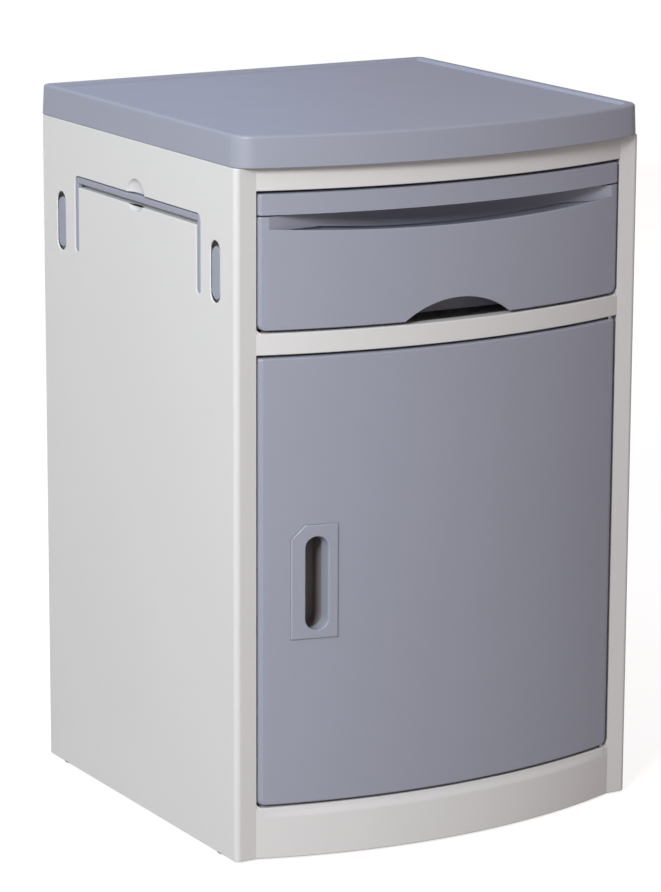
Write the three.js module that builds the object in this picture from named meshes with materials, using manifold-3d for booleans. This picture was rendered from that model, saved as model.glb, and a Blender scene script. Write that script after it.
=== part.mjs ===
// Hospital bedside cabinet: a moulded carcass with a pull-out dining board, a drawer, a bowed door,
// and a folding towel rail with two swing-out hooks on each side.
// Millimetres, +Z up, front towards -Y, origin at the centre of the footprint on the floor.

import * as THREE from "three";
import { mergeVertices } from "three/addons/utils/BufferGeometryUtils.js";
import Module from "manifold-3d";

const wasm = await Module();
wasm.setup();

// ---------------------------------------------------------------- driving dimensions

const WIDTH = 480;
const DEPTH = 480;
const HEIGHT = 750;
const HALF_W = WIDTH / 2;
const HALF_D = DEPTH / 2;

const GAP = 0.3; // between pieces that touch
const SEAM = 3; // visible gap round the door and the drawer
const WALL = 3; // moulded wall
const RIB = 2.5; // moulded stiffening rib

const LIFT = 2; // the carcass stands this high on its glides
const SHELL_TOP = 717.2; // the top panel rests here
const STILE_Y = -192; // flat front faces of the side panels
const STILE_W = 22.5;
const REAR_Y = 236.7; // rear face of the carcass
const OPEN_HALF = HALF_W - STILE_W; // half of the clear width inside
const FRONT_HALF = OPEN_HALF - SEAM; // half the width of the door, drawer and board

const FRONT_BOW = 35; // how far the door and rails stand out at the middle
const KICK_BOW = 39.5;
const TOP_BOW = 45;
const RAIL_DEPTH = 14;

const KICK_TOP = 56;
const MID_RAIL = { low: 527.5, high: 550.5 };
const TOP_RAIL = { low: 693.2, high: SHELL_TOP };
const DOOR = { low: KICK_TOP + SEAM, high: MID_RAIL.low - SEAM, backY: -173.3 };
const BOARD_LIP = { low: 668.5, high: TOP_RAIL.low - SEAM };
const DRAWER = { low: MID_RAIL.high + SEAM, high: BOARD_LIP.low - 1.2, backY: -176 };
const FINGER_CELL_HALF = 66;

const HINGE = { x: 208, y: -190, pinRadius: 2.5, bushRadius: 4, bushLength: 12 };
const HANDLE = { left: -182.5, right: -134, low: 233, high: 352, chamfer: 14, proud: 0.8 };
const SLOT = { x: -156.2, z: 290.8, width: 23.5, height: 97.5, collar: 2, frontEndY: -191 };

const BAIL = { frontY: -118, rearY: 158.4, low: 650.5, high: 660.5, pivotZ: 586, arm: 8.5, corner: 7 };
const HOOK = { frontY: -150, rearY: 192, width: 17.2, low: 580, high: 631, pivotZ: 588.5 };
const HOOK_POCKET = { width: 20, low: 579, high: 640, depth: 13 };
const SIDE_PIVOT_X = 236.5;
const BAIL_GROOVE_DEPTH = 10.5;

const BASE = { low: 51.7, high: 55.7 };
const DECK = { low: 537, high: 541 };
const SHELF = { low: 288.3, high: 294.3, frontY: -160 };
const INSIDE_REAR_Y = 232.4;
const TRACK = { frontY: -165, rearY: 225 };
const LINER = { outer: 219.9, inner: 217.7 };

// ---------------------------------------------------------------- materials

const plastic = (color, roughness) => new THREE.MeshStandardMaterial({ color, roughness, metalness: 0 });
const metal = (color, roughness) => new THREE.MeshStandardMaterial({ color, roughness, metalness: 1 });
const LIGHT_GREY = 0xdbdad8;
const BLUE_GREY = 0x9a9cae;
const BLACK = 0x1d1b1c;
const NYLON = 0xe9e7e0;
const STEEL = 0xb4b6b9;

// ---------------------------------------------------------------- solids from three.js shapes

const BOW_STEPS = 8; // half the facets along a bowed front
const CORNER_STEPS = 3; // half the facets round a small corner

function toSolid(geometry) {
  geometry.deleteAttribute("normal");
  geometry.deleteAttribute("uv");
  const merged = mergeVertices(geometry, 1e-4);
  const corners = merged.index.array;
  const triangles = [];
  for (let i = 0; i < corners.length; i += 3) {
    const [a, b, c] = [corners[i], corners[i + 1], corners[i + 2]];
    if (a !== b && b !== c && c !== a) triangles.push(a, b, c);
  }
  const vertProperties = Float32Array.from(merged.attributes.position.array);
  const triVerts = Uint32Array.from(triangles);
  return new wasm.Manifold(new wasm.Mesh({ numProp: 3, vertProperties, triVerts }));
}

function toGeometry(solid) {
  const mesh = solid.getMesh();
  const geometry = new THREE.BufferGeometry();
  geometry.setAttribute("position", new THREE.BufferAttribute(mesh.vertProperties, 3));
  geometry.setIndex(new THREE.BufferAttribute(mesh.triVerts, 1));
  geometry.computeVertexNormals();
  return geometry;
}

function mirrored(geometry) {
  const copy = geometry.clone().scale(-1, 1, 1);
  const corners = copy.index.array;
  for (let i = 0; i < corners.length; i += 3) {
    [corners[i], corners[i + 1]] = [corners[i + 1], corners[i]];
  }
  copy.computeVertexNormals();
  return copy;
}

function block(x, y, z) {
  const geometry = new THREE.BoxGeometry(x[1] - x[0], y[1] - y[0], z[1] - z[0]);
  geometry.translate((x[0] + x[1]) / 2, (y[0] + y[1]) / 2, (z[0] + z[1]) / 2);
  return toSolid(geometry);
}

// A straight prism along "x" (outline in y, z), "y" (outline in x, z) or "z" (outline in x, y).
function prism(outline, axis, from, to, curveSegments = axis === "z" ? BOW_STEPS : CORNER_STEPS) {
  const options = { depth: to - from, bevelEnabled: false, curveSegments };
  const geometry = new THREE.ExtrudeGeometry(outline, options);
  geometry.translate(0, 0, axis === "y" ? -to : from);
  const [X, Y, Z] = [[1, 0, 0], [0, 1, 0], [0, 0, 1]].map((v) => new THREE.Vector3(...v));
  const turn = new THREE.Matrix4();
  if (axis === "x") turn.makeBasis(Y, Z, X);
  if (axis === "y") turn.makeBasis(X, Z, Y.negate());
  geometry.applyMatrix4(turn);
  return toSolid(geometry);
}

function rod(axis, radius, from, to, at, sides = 16) {
  const geometry = new THREE.CylinderGeometry(radius, radius, to - from, sides);
  geometry.translate(0, (from + to) / 2, 0);
  if (axis === "z") geometry.rotateX(Math.PI / 2);
  if (axis === "x") geometry.rotateZ(-Math.PI / 2);
  geometry.translate(...at);
  return toSolid(geometry);
}

function ellipsoid(radii, centre) {
  const geometry = new THREE.SphereGeometry(1, 20, 8);
  geometry.scale(...radii);
  geometry.translate(...centre);
  return geometry;
}

function pillOutline(centreA, centreB, width, height) {
  const r = width / 2;
  const reach = height / 2 - r;
  const outline = new THREE.Shape();
  outline.absarc(centreA, centreB + reach, r, 0, Math.PI, false);
  outline.absarc(centreA, centreB - reach, r, Math.PI, 2 * Math.PI, false);
  outline.closePath();
  return outline;
}

const join = (first, ...others) => others.reduce((sum, next) => sum.add(next), first);
const cut = (first, ...others) => others.reduce((rest, next) => rest.subtract(next), first);

// ---------------------------------------------------------------- bowed front

// Every bowed front is an arc about a vertical line on the centre plane.
function bow(sagitta, halfWidth, endY) {
  const radius = (halfWidth ** 2 + sagitta ** 2) / (2 * sagitta);
  return { radius, centreY: endY - sagitta + radius };
}

const FRONT_ARC = bow(FRONT_BOW, OPEN_HALF, STILE_Y);
const KICK_ARC = bow(KICK_BOW, OPEN_HALF, STILE_Y);
const TOP_ARC = bow(TOP_BOW, HALF_W, -HALF_D + TOP_BOW);

function sweep(outline, arc, inset, fromX, toX) {
  const r = arc.radius - inset;
  const start = Math.asin(fromX / r) - Math.PI / 2;
  const end = Math.asin(toX / r) - Math.PI / 2;
  outline.absarc(0, arc.centreY, r, start, end, end < start);
}

// Plan outline between the bow, set in by inset, and a straight line at backY.
function bowedSlab(arc, fromX, toX, inset, backY) {
  const outline = new THREE.Shape();
  sweep(outline, arc, inset, fromX, toX);
  outline.lineTo(toX, backY);
  outline.lineTo(fromX, backY);
  outline.closePath();
  return outline;
}

// Plan outline of a band that follows the bow.
function bowedBand(arc, fromX, toX, inset, thickness) {
  const outline = new THREE.Shape();
  sweep(outline, arc, inset, fromX, toX);
  sweep(outline, arc, inset + thickness, toX, fromX);
  outline.closePath();
  return outline;
}

// Open cells between ribs, cut from behind into a bowed moulding.
function bowedCells(edges, inset, backY, z) {
  const cells = edges.map(([left, right]) => {
    return prism(bowedSlab(FRONT_ARC, left, right, inset, backY), "z", z[0], z[1]);
  });
  return join(...cells);
}

// Pairs of left and right edges of equal cells, with a rib between neighbours.
function cellEdges(from, to, count) {
  const width = (to - from - RIB * (count - 1)) / count;
  return Array.from({ length: count }, (_, i) => {
    const left = from + i * (width + RIB);
    return [left, left + width];
  });
}

// ---------------------------------------------------------------- top panel

const TOP = { skirt: 4, skin: 4, rim: 12, dish: 3, edge: 4, corner: 9 };

function topOutline(inset) {
  const side = HALF_W - inset;
  const rear = HALF_D - inset;
  const corner = TOP.corner - inset / 2;
  const r = TOP_ARC.radius - inset;
  const frontY = (x) => TOP_ARC.centreY - Math.sqrt(r ** 2 - x ** 2);
  const outline = new THREE.Shape();
  sweep(outline, TOP_ARC, inset, -side + corner, side - corner);
  outline.quadraticCurveTo(side, frontY(side), side, frontY(side) + corner);
  outline.lineTo(side, rear - corner);
  outline.quadraticCurveTo(side, rear, side - corner, rear);
  outline.lineTo(-side + corner, rear);
  outline.quadraticCurveTo(-side, rear, -side, rear - corner);
  outline.lineTo(-side, frontY(side) + corner);
  outline.quadraticCurveTo(-side, frontY(side), -side + corner, frontY(side - corner));
  return outline;
}

function topPanel() {
  const options = {
    depth: HEIGHT - SHELL_TOP,
    bevelThickness: TOP.edge,
    bevelSize: TOP.edge,
    bevelOffset: -TOP.edge,
    bevelSegments: 2,
    curveSegments: BOW_STEPS,
  };
  const geometry = new THREE.ExtrudeGeometry(topOutline(0), options);
  geometry.translate(0, 0, SHELL_TOP - TOP.edge);
  const low = SHELL_TOP + GAP;
  const below = block([-HALF_W - 1, HALF_W + 1], [-HALF_D - 1, HALF_D + 1], [SHELL_TOP - 10, low]);
  const dish = prism(topOutline(TOP.rim), "z", HEIGHT - TOP.dish, HEIGHT + 1);
  const ceiling = HEIGHT - TOP.dish - TOP.skin;
  const inside = prism(topOutline(TOP.skirt), "z", low - 1, ceiling);
  const ribs = cellEdges(-HALF_W + TOP.skirt, HALF_W - TOP.skirt, 7).slice(1).map(([left]) => {
    return block([left - RIB, left], [-HALF_D, HALF_D], [low - 2, ceiling + 1]);
  });
  return cut(toSolid(geometry), below, dish, cut(inside, ...ribs));
}

// ---------------------------------------------------------------- side panels

const SIDE = { frontCorner: 12, rearCorner: 4, cells: 6 };
const SCOOP = { y: (BAIL.frontY + BAIL.rearY) / 2, radii: [8, 22.5, 19.5] };
const GLIDE = { x: 228.75, y: [-151, 200], foot: 10, stem: 3, stemTop: 14 };

function sideOutline() {
  const outer = -HALF_W;
  const { frontCorner, rearCorner } = SIDE;
  const outline = new THREE.Shape();
  outline.moveTo(-OPEN_HALF, STILE_Y);
  outline.lineTo(-OPEN_HALF, REAR_Y);
  outline.absarc(outer + rearCorner, REAR_Y - rearCorner, rearCorner, Math.PI / 2, Math.PI, false);
  outline.absarc(outer + frontCorner, STILE_Y + frontCorner, frontCorner, Math.PI, 1.5 * Math.PI, false);
  outline.closePath();
  return outline;
}

// The towel rail's outline on the side of the cabinet: a bar with two arms that hang down to the pivots.
function bailOutline(grow) {
  const left = BAIL.frontY - grow;
  const right = BAIL.rearY + grow;
  const top = BAIL.high + grow;
  const arm = BAIL.arm + 2 * grow;
  const r = BAIL.corner;
  const outline = new THREE.Shape();
  outline.absarc(left + r, top - r, r, Math.PI, Math.PI / 2, true);
  outline.absarc(right - r, top - r, r, Math.PI / 2, 0, true);
  outline.absarc(right - arm / 2, BAIL.pivotZ, arm / 2, 0, -Math.PI, true);
  outline.lineTo(right - arm, BAIL.low - grow);
  outline.lineTo(left + arm, BAIL.low - grow);
  outline.absarc(left + arm / 2, BAIL.pivotZ, arm / 2, 0, -Math.PI, true);
  outline.closePath();
  return outline;
}

const bailPivots = () => [BAIL.frontY + BAIL.arm / 2, BAIL.rearY - BAIL.arm / 2];
const BAIL_CLEARANCE = 1.2;
const SIDE_PIN_RADIUS = 1.5;
const BAIL_PIN_HALF = 7.2;
const HOOK_PIN_HALF = 11.4;

function sidePockets(grow) {
  const outer = -HALF_W - 1;
  const pocketZ = (HOOK_POCKET.low + HOOK_POCKET.high) / 2;
  const pocketHeight = HOOK_POCKET.high - HOOK_POCKET.low;
  const groove = prism(bailOutline(BAIL_CLEARANCE + grow), "x", outer, -HALF_W + BAIL_GROOVE_DEPTH + grow);
  const scoopRadii = SCOOP.radii.map((radius) => radius + grow);
  const scoop = toSolid(ellipsoid(scoopRadii, [-HALF_W, SCOOP.y, BAIL.high]));
  const hooks = [HOOK.frontY, HOOK.rearY].map((y) => {
    const outline = pillOutline(y, pocketZ, HOOK_POCKET.width + 2 * grow, pocketHeight + 2 * grow);
    return prism(outline, "x", outer, -HALF_W + HOOK_POCKET.depth + grow);
  });
  return join(groove, scoop, ...hooks);
}

function sidePinBores() {
  const radius = SIDE_PIN_RADIUS + GAP;
  const bore = (half, z) => (y) => rod("y", radius, y - half, y + half, [-SIDE_PIVOT_X, 0, z], 12);
  const bail = bailPivots().map(bore(BAIL_PIN_HALF + GAP, BAIL.pivotZ));
  const hooks = [HOOK.frontY, HOOK.rearY].map(bore(HOOK_PIN_HALF + GAP, HOOK.pivotZ));
  return join(...bail, ...hooks);
}

function sidePanel() {
  const shell = prism(sideOutline(), "z", LIFT, SHELL_TOP, CORNER_STEPS);
  const cells = cellEdges(STILE_Y + SIDE.frontCorner - WALL, REAR_Y - WALL, SIDE.cells).map((y) => {
    return block([-HALF_W + WALL, -OPEN_HALF + 1], y, [LIFT + WALL, SHELL_TOP - WALL]);
  });
  const linerSeat = block(
    [-LINER.outer - GAP, -OPEN_HALF + 1],
    [STILE_Y + WALL, REAR_Y - WALL],
    [LIFT + WALL, SHELL_TOP - WALL],
  );
  const hollow = join(cut(join(...cells), sidePockets(RIB)), linerSeat);
  const glideHoles = GLIDE.y.map((y) => rod("z", GLIDE.stem + GAP, 0, LIFT + WALL + 1, [-GLIDE.x, y, 0]));
  return cut(shell, hollow, sidePockets(0), sidePinBores(), ...glideHoles);
}

// Smooth inner wall of one side, with ledges for the floor, the shelf and the deck under the drawer.
const LEDGE = { width: 9, height: 6, frontY: -158, rearY: 225 };
const BOSS = { x: 210, half: 7, frontY: 219, heights: [150, 702] };
const SCREW = { shank: 1.8, length: 14, head: 4.2, headHeight: 2.2 };

function sideLiner() {
  const sheet = block([-LINER.outer, -LINER.inner], [STILE_Y + WALL + GAP, REAR_Y - WALL - GAP], [
    LIFT + WALL + GAP,
    SHELL_TOP - WALL - GAP,
  ]);
  const ledges = [BASE.low, SHELF.low, DECK.low].map((top) => {
    const z = [top - GAP - LEDGE.height, top - GAP];
    return block([-LINER.inner - 1, -LINER.inner + LEDGE.width], [LEDGE.frontY, LEDGE.rearY], z);
  });
  const bosses = BOSS.heights.map((z) => {
    return block([-LINER.inner - 1, -BOSS.x + BOSS.half], [BOSS.frontY, INSIDE_REAR_Y], [z - BOSS.half, z + BOSS.half]);
  });
  const holes = BOSS.heights.map((z) => {
    return rod("y", SCREW.shank + GAP, REAR_Y - SCREW.length - 1, REAR_Y, [-BOSS.x, 0, z], 12);
  });
  return cut(join(sheet, ...ledges, ...bosses), ...holes);
}

// ---------------------------------------------------------------- rails, kick plate, decks and back

function bowedRail(arc, z) {
  const half = OPEN_HALF - GAP;
  return prism(bowedBand(arc, -half, half, 0, RAIL_DEPTH), "z", z[0], z[1]);
}

const hingeBore = (radius, z) => rod("z", radius, z[0], z[1], [HINGE.x, HINGE.y, 0]);
const LOWER_BUSH = [KICK_TOP - HINGE.bushLength, KICK_TOP - GAP];
const UPPER_BUSH = [MID_RAIL.low + GAP, MID_RAIL.low + HINGE.bushLength];

function kickPlate() {
  const bore = hingeBore(HINGE.bushRadius + GAP, [LOWER_BUSH[0] - GAP, KICK_TOP + 1]);
  return cut(bowedRail(KICK_ARC, [LIFT, KICK_TOP]), bore);
}

function midRail() {
  const bore = hingeBore(HINGE.bushRadius + GAP, [MID_RAIL.low - 1, UPPER_BUSH[1] + GAP]);
  return cut(bowedRail(FRONT_ARC, [MID_RAIL.low, MID_RAIL.high]), bore);
}

function hingeBush(z) {
  const bore = hingeBore(HINGE.pinRadius + GAP, [z[0] - 1, z[1] + 1]);
  return cut(hingeBore(HINGE.bushRadius, z), bore);
}

// A flat panel whose front edge follows the bow just behind a rail.
function deckPlate(arc, z) {
  const half = OPEN_HALF - GAP;
  return prism(bowedSlab(arc, -half, half, RAIL_DEPTH + GAP, INSIDE_REAR_Y), "z", z[0], z[1]);
}

const BASE_RIB_DEPTH = 24;

function basePanel() {
  const ribs = cellEdges(-OPEN_HALF + GAP, OPEN_HALF - GAP, 7).slice(1).map(([left]) => {
    return block([left - RIB, left], [-150, INSIDE_REAR_Y - 10], [BASE.low - BASE_RIB_DEPTH, BASE.low + 1]);
  });
  return join(deckPlate(KICK_ARC, [BASE.low, BASE.high]), ...ribs);
}

const BACK = { thickness: 4, fieldDepth: 1.2, fieldInset: 34 };

function backPanel() {
  const half = OPEN_HALF - GAP;
  const frontY = REAR_Y - BACK.thickness;
  const plate = block([-half, half], [frontY, REAR_Y], [LIFT, SHELL_TOP]);
  const field = block(
    [-half + BACK.fieldInset, half - BACK.fieldInset],
    [REAR_Y - BACK.fieldDepth, REAR_Y + 1],
    [LIFT + BACK.fieldInset, SHELL_TOP - BACK.fieldInset],
  );
  const holes = [-BOSS.x, BOSS.x].flatMap((x) => {
    return BOSS.heights.map((z) => rod("y", SCREW.shank + GAP, frontY - 1, REAR_Y + 1, [x, 0, z], 12));
  });
  return cut(plate, field, ...holes);
}

// ---------------------------------------------------------------- dining board and drawer

const BOARD = { low: 671, high: 687.5, half: 214.6, frontY: -196, rearY: 180, skin: 4 };
const LIP = { skin: 4, room: 16, half: 190, backY: -182 };

function diningBoard() {
  const lip = prism(bowedSlab(FRONT_ARC, -FRONT_HALF, FRONT_HALF, 0, LIP.backY), "z", BOARD_LIP.low, BOARD_LIP.high);
  const plate = block([-FRONT_HALF, FRONT_HALF], [LIP.backY - 1, BOARD.rearY], [BOARD.low, BOARD.high]);
  const cells = cellEdges(-FRONT_HALF + WALL, FRONT_HALF - WALL, 6).map((x) => {
    return block(x, [LIP.backY + WALL, BOARD.rearY - WALL], [BOARD.low - 1, BOARD.high - BOARD.skin]);
  });
  const fingerRoom = bowedBand(FRONT_ARC, -LIP.half, LIP.half, LIP.skin, LIP.room);
  const undercut = prism(fingerRoom, "z", BOARD_LIP.low - 1, BOARD_LIP.high - 6);
  return cut(join(lip, plate), ...cells, undercut);
}

// A smile-shaped scoop for the fingers, sunk into the top edge of the drawer front.
const SMILE = { half: 202, depth: 20, height: 19.5 };

function smileScoop(grow) {
  const radii = [SMILE.half + grow, SMILE.depth + grow, SMILE.height + grow];
  const geometry = ellipsoid(radii, [0, 0, DRAWER.high]);
  const position = geometry.attributes.position;
  for (let i = 0; i < position.count; i += 1) {
    const angle = position.getX(i) / FRONT_ARC.radius;
    const radius = FRONT_ARC.radius - position.getY(i);
    position.setX(i, radius * Math.sin(angle));
    position.setY(i, FRONT_ARC.centreY - radius * Math.cos(angle));
  }
  return toSolid(geometry);
}

const ARCH = { half: 63, height: 21 };

function drawerFront() {
  const slab = bowedSlab(FRONT_ARC, -FRONT_HALF, FRONT_HALF, 0, DRAWER.backY);
  const front = prism(slab, "z", DRAWER.low, DRAWER.high);
  const cellZ = [DRAWER.low + WALL, DRAWER.high - WALL];
  const right = cellEdges(FINGER_CELL_HALF + RIB, FRONT_HALF - WALL, 2);
  const left = right.map(([a, b]) => [-b, -a]);
  const behind = DRAWER.backY + 1;
  const sideCells = bowedCells([...left, ...right], 4, behind, cellZ);
  const middle = bowedCells([[-FINGER_CELL_HALF, FINGER_CELL_HALF]], 4, behind, [DRAWER.low - 1, cellZ[1]]);
  const hollow = cut(join(sideCells, middle), smileScoop(WALL));
  const radius = (ARCH.half ** 2 + ARCH.height ** 2) / (2 * ARCH.height);
  const archZ = DRAWER.low + ARCH.height - radius;
  const arch = rod("y", radius, -HALF_D, STILE_Y - 10, [0, 0, archZ], 96);
  return cut(front, hollow, smileScoop(0), arch);
}

const TRAY = { half: 202, rearY: 195, low: 562, high: 652, wall: 2.5, rim: 4 };

function drawerTray() {
  const frontY = DRAWER.backY + GAP;
  const { half, rearY, low, high, wall, rim } = TRAY;
  const shell = block([-half, half], [frontY, rearY], [low, high]);
  const lip = block([-half - rim, half + rim], [frontY, rearY + rim], [high - wall, high]);
  const inside = block([-half + wall, half - wall], [frontY + wall, rearY - wall], [low + wall, high + 1]);
  return cut(join(shell, lip), inside);
}

// C-shaped track on the left side, open towards the middle of the cabinet.
function track(z, lipX, thickness) {
  const web = -OPEN_HALF + thickness;
  const y = [TRACK.frontY, TRACK.rearY];
  const body = block([-OPEN_HALF + GAP, -lipX], y, z);
  const inside = block([web + GAP, -lipX + 1], [y[0] - 1, y[1] + 1], [z[0] + thickness, z[1] - thickness]);
  return cut(body, inside);
}

const boardTrack = () => track([BOARD.low - 2.9, BOARD.high + 2.9], 207, 2.4);
const DRAWER_TRACK = { low: 604, high: 628 };
const drawerTrack = () => track([DRAWER_TRACK.low, DRAWER_TRACK.high], 206, 2);

function drawerGlide() {
  const z = [DRAWER_TRACK.low + 2.6, DRAWER_TRACK.high - 2.6];
  const bar = block([-OPEN_HALF + 3, -TRAY.half - GAP], [TRACK.frontY + 4, TRAY.rearY - 4], z);
  const groove = block([-OPEN_HALF + 2, -OPEN_HALF + 8], [TRACK.frontY, TRAY.rearY], [z[0] + 6, z[1] - 6]);
  return cut(bar, groove);
}

// ---------------------------------------------------------------- door

const HINGE_BLOCK_X = 197;
const FIRST_DOOR_RIB_X = -136;
const DOOR_SKIN = 3.5;
const SEAT_DEPTH = 1;
const PIN = { inDoor: 22, inBush: HINGE.bushLength - 2 };

function handleOutline(grow) {
  const { left, right, low, high, chamfer } = HANDLE;
  const outline = new THREE.Shape();
  outline.moveTo(left - grow, low - grow);
  outline.lineTo(right + grow, low - grow);
  outline.lineTo(right + grow, high + grow);
  outline.lineTo(left + chamfer - grow / 2, high + grow);
  outline.lineTo(left - grow, high - chamfer + grow / 2);
  outline.closePath();
  return outline;
}

function slotPrism(grow, y) {
  const outline = pillOutline(SLOT.x, SLOT.z, SLOT.width + 2 * grow, SLOT.height + 2 * grow);
  return prism(outline, "y", y[0], y[1]);
}

function doorSkin() {
  const slab = bowedSlab(FRONT_ARC, -FRONT_HALF, FRONT_HALF, 0, DOOR.backY);
  const door = prism(slab, "z", DOOR.low, DOOR.high);
  const edges = [
    [-FRONT_HALF + WALL, FIRST_DOOR_RIB_X - RIB],
    ...cellEdges(FIRST_DOOR_RIB_X, HINGE_BLOCK_X, 5),
  ];
  const cells = bowedCells(edges, DOOR_SKIN, DOOR.backY + 1, [DOOR.low + WALL, DOOR.high - WALL]);
  const seatBand = prism(bowedBand(FRONT_ARC, -FRONT_HALF, 0, -4, 4 + SEAT_DEPTH), "z", DOOR.low, DOOR.high);
  const seat = prism(handleOutline(GAP), "y", -HALF_D, DOOR.backY).intersect(seatBand);
  const slot = slotPrism(SLOT.collar + GAP, [-HALF_D, SLOT.frontEndY]);
  const pinRadius = HINGE.pinRadius + GAP;
  const lowBore = hingeBore(pinRadius, [DOOR.low - 1, DOOR.low + PIN.inDoor + GAP]);
  const highBore = hingeBore(pinRadius, [DOOR.high - PIN.inDoor - GAP, DOOR.high + 1]);
  return cut(door, cells, seat, slot, lowBore, highBore);
}

function handlePlate() {
  const { proud } = HANDLE;
  const band = (inset, thickness) => {
    return prism(bowedBand(FRONT_ARC, -FRONT_HALF, 0, inset, thickness), "z", DOOR.low, DOOR.high);
  };
  const plate = prism(handleOutline(0), "y", -HALF_D, DOOR.backY).intersect(band(-proud, proud + SEAT_DEPTH - GAP));
  const collar = slotPrism(SLOT.collar, [-HALF_D, SLOT.frontEndY]).intersect(band(-proud, 40));
  return cut(join(plate, collar), slotPrism(0, [-HALF_D - 1, DOOR.backY]));
}

const POCKET = { frontY: SLOT.frontEndY + GAP, rearY: DOOR.backY - GAP, grow: 5, wall: 2 };

function handlePocket() {
  const cup = slotPrism(POCKET.grow, [POCKET.frontY, POCKET.rearY]);
  return cut(cup, slotPrism(POCKET.grow - POCKET.wall, [POCKET.frontY - 1, POCKET.rearY - POCKET.wall]));
}

const INNER_PANEL = { frontY: DOOR.backY + GAP, backY: DOOR.backY + WALL, inset: 2 };

function doorInnerPanel() {
  const half = FRONT_HALF - INNER_PANEL.inset;
  const z = [DOOR.low + INNER_PANEL.inset, DOOR.high - INNER_PANEL.inset];
  return block([-half, half], [INNER_PANEL.frontY, INNER_PANEL.backY], z);
}

const CATCH = { x: [-205, -165], z: [508, 522], thickness: 1.2 };
const STRIKE_Y = [INNER_PANEL.backY + GAP, INNER_PANEL.backY + GAP + CATCH.thickness];

const strikePlate = () => block(CATCH.x, STRIKE_Y, CATCH.z);

function magneticCatch() {
  const frontY = STRIKE_Y[1] + GAP;
  const middleX = (CATCH.x[0] + CATCH.x[1]) / 2;
  const body = block(CATCH.x, [frontY, frontY + 16], CATCH.z);
  const foot = block([middleX - 14, middleX + 14], [frontY + 2, frontY + 14], [CATCH.z[1] - 1, DECK.low - GAP]);
  return join(body, foot);
}

// ---------------------------------------------------------------- towel rail and hooks

const BAIL_FACE_X = HALF_W - 0.5;
const BAIL_ARM_BACK_X = SIDE_PIVOT_X - (BAIL_FACE_X - SIDE_PIVOT_X);
const BAIL_BAR_BACK_X = 231;

function towelRail() {
  const frame = prism(bailOutline(0), "x", -BAIL_FACE_X, -BAIL_ARM_BACK_X);
  const bar = block(
    [-BAIL_ARM_BACK_X - 1, -BAIL_BAR_BACK_X],
    [BAIL.frontY + BAIL.corner, BAIL.rearY - BAIL.corner],
    [BAIL.low, BAIL.high],
  );
  const bores = bailPivots().map((y) => {
    return rod("y", SIDE_PIN_RADIUS + GAP, y - BAIL.arm, y + BAIL.arm, [-SIDE_PIVOT_X, 0, BAIL.pivotZ], 12);
  });
  return cut(join(frame, bar), ...bores);
}

const HOOK_FACE_X = HALF_W - 1;
const HOOK_BACK_X = SIDE_PIVOT_X - (HOOK_FACE_X - SIDE_PIVOT_X);
const HOOK_LIP = { backX: 229.5, low: 624 };

// One hook, drawn about its own pivot on the left side: a flat tongue with a lip behind its free end.
function hook() {
  const middle = (HOOK.low + HOOK.high) / 2;
  const outline = pillOutline(0, middle, HOOK.width, HOOK.high - HOOK.low);
  const tongue = prism(outline, "x", -HOOK_FACE_X, -HOOK_BACK_X);
  const above = block([-HALF_W, 0], [-HOOK.width, HOOK.width], [HOOK_LIP.low, HOOK.high]);
  const lip = prism(outline, "x", -HOOK_BACK_X - 1, -HOOK_LIP.backX).intersect(above);
  const bore = rod("y", SIDE_PIN_RADIUS + GAP, -HOOK.width, HOOK.width, [-SIDE_PIVOT_X, 0, HOOK.pivotZ], 12);
  return toGeometry(cut(join(tongue, lip), bore)).translate(SIDE_PIVOT_X, 0, -HOOK.pivotZ);
}

// ---------------------------------------------------------------- small turned pieces

function pinGeometry(half) {
  return new THREE.CylinderGeometry(SIDE_PIN_RADIUS, SIDE_PIN_RADIUS, 2 * half, 12);
}

function lathe(profile, sides) {
  return new THREE.LatheGeometry(profile.map(([r, h]) => new THREE.Vector2(r, h)), sides);
}

function glideGeometry() {
  const { foot, stem, stemTop } = GLIDE;
  const top = LIFT - GAP;
  const profile = [[0, 0], [foot - 0.5, 0], [foot, 0.5], [foot, top], [stem, top], [stem, stemTop], [0, stemTop]];
  return lathe(profile, 16).rotateX(Math.PI / 2);
}

function screwGeometry() {
  const { shank, length, head, headHeight } = SCREW;
  const profile = [
    [0, -length],
    [shank, -length + 2],
    [shank, GAP],
    [head, GAP],
    [head * 0.8, headHeight * 0.75],
    [0, headHeight],
  ];
  return lathe(profile, 12);
}

// ---------------------------------------------------------------- assembly

function named(name, shape, material) {
  const geometry = shape.isBufferGeometry ? shape : toGeometry(shape);
  const mesh = new THREE.Mesh(geometry, material);
  mesh.name = name;
  return mesh;
}

function placed(mesh, x, y, z) {
  mesh.position.set(x, y, z);
  return mesh;
}

// The left piece and its mirror image on the right.
function pair(name, solid, makeMaterial) {
  const left = toGeometry(solid);
  return [named(`${name}_left`, left, makeMaterial()), named(`${name}_right`, mirrored(left), makeMaterial())];
}

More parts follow.
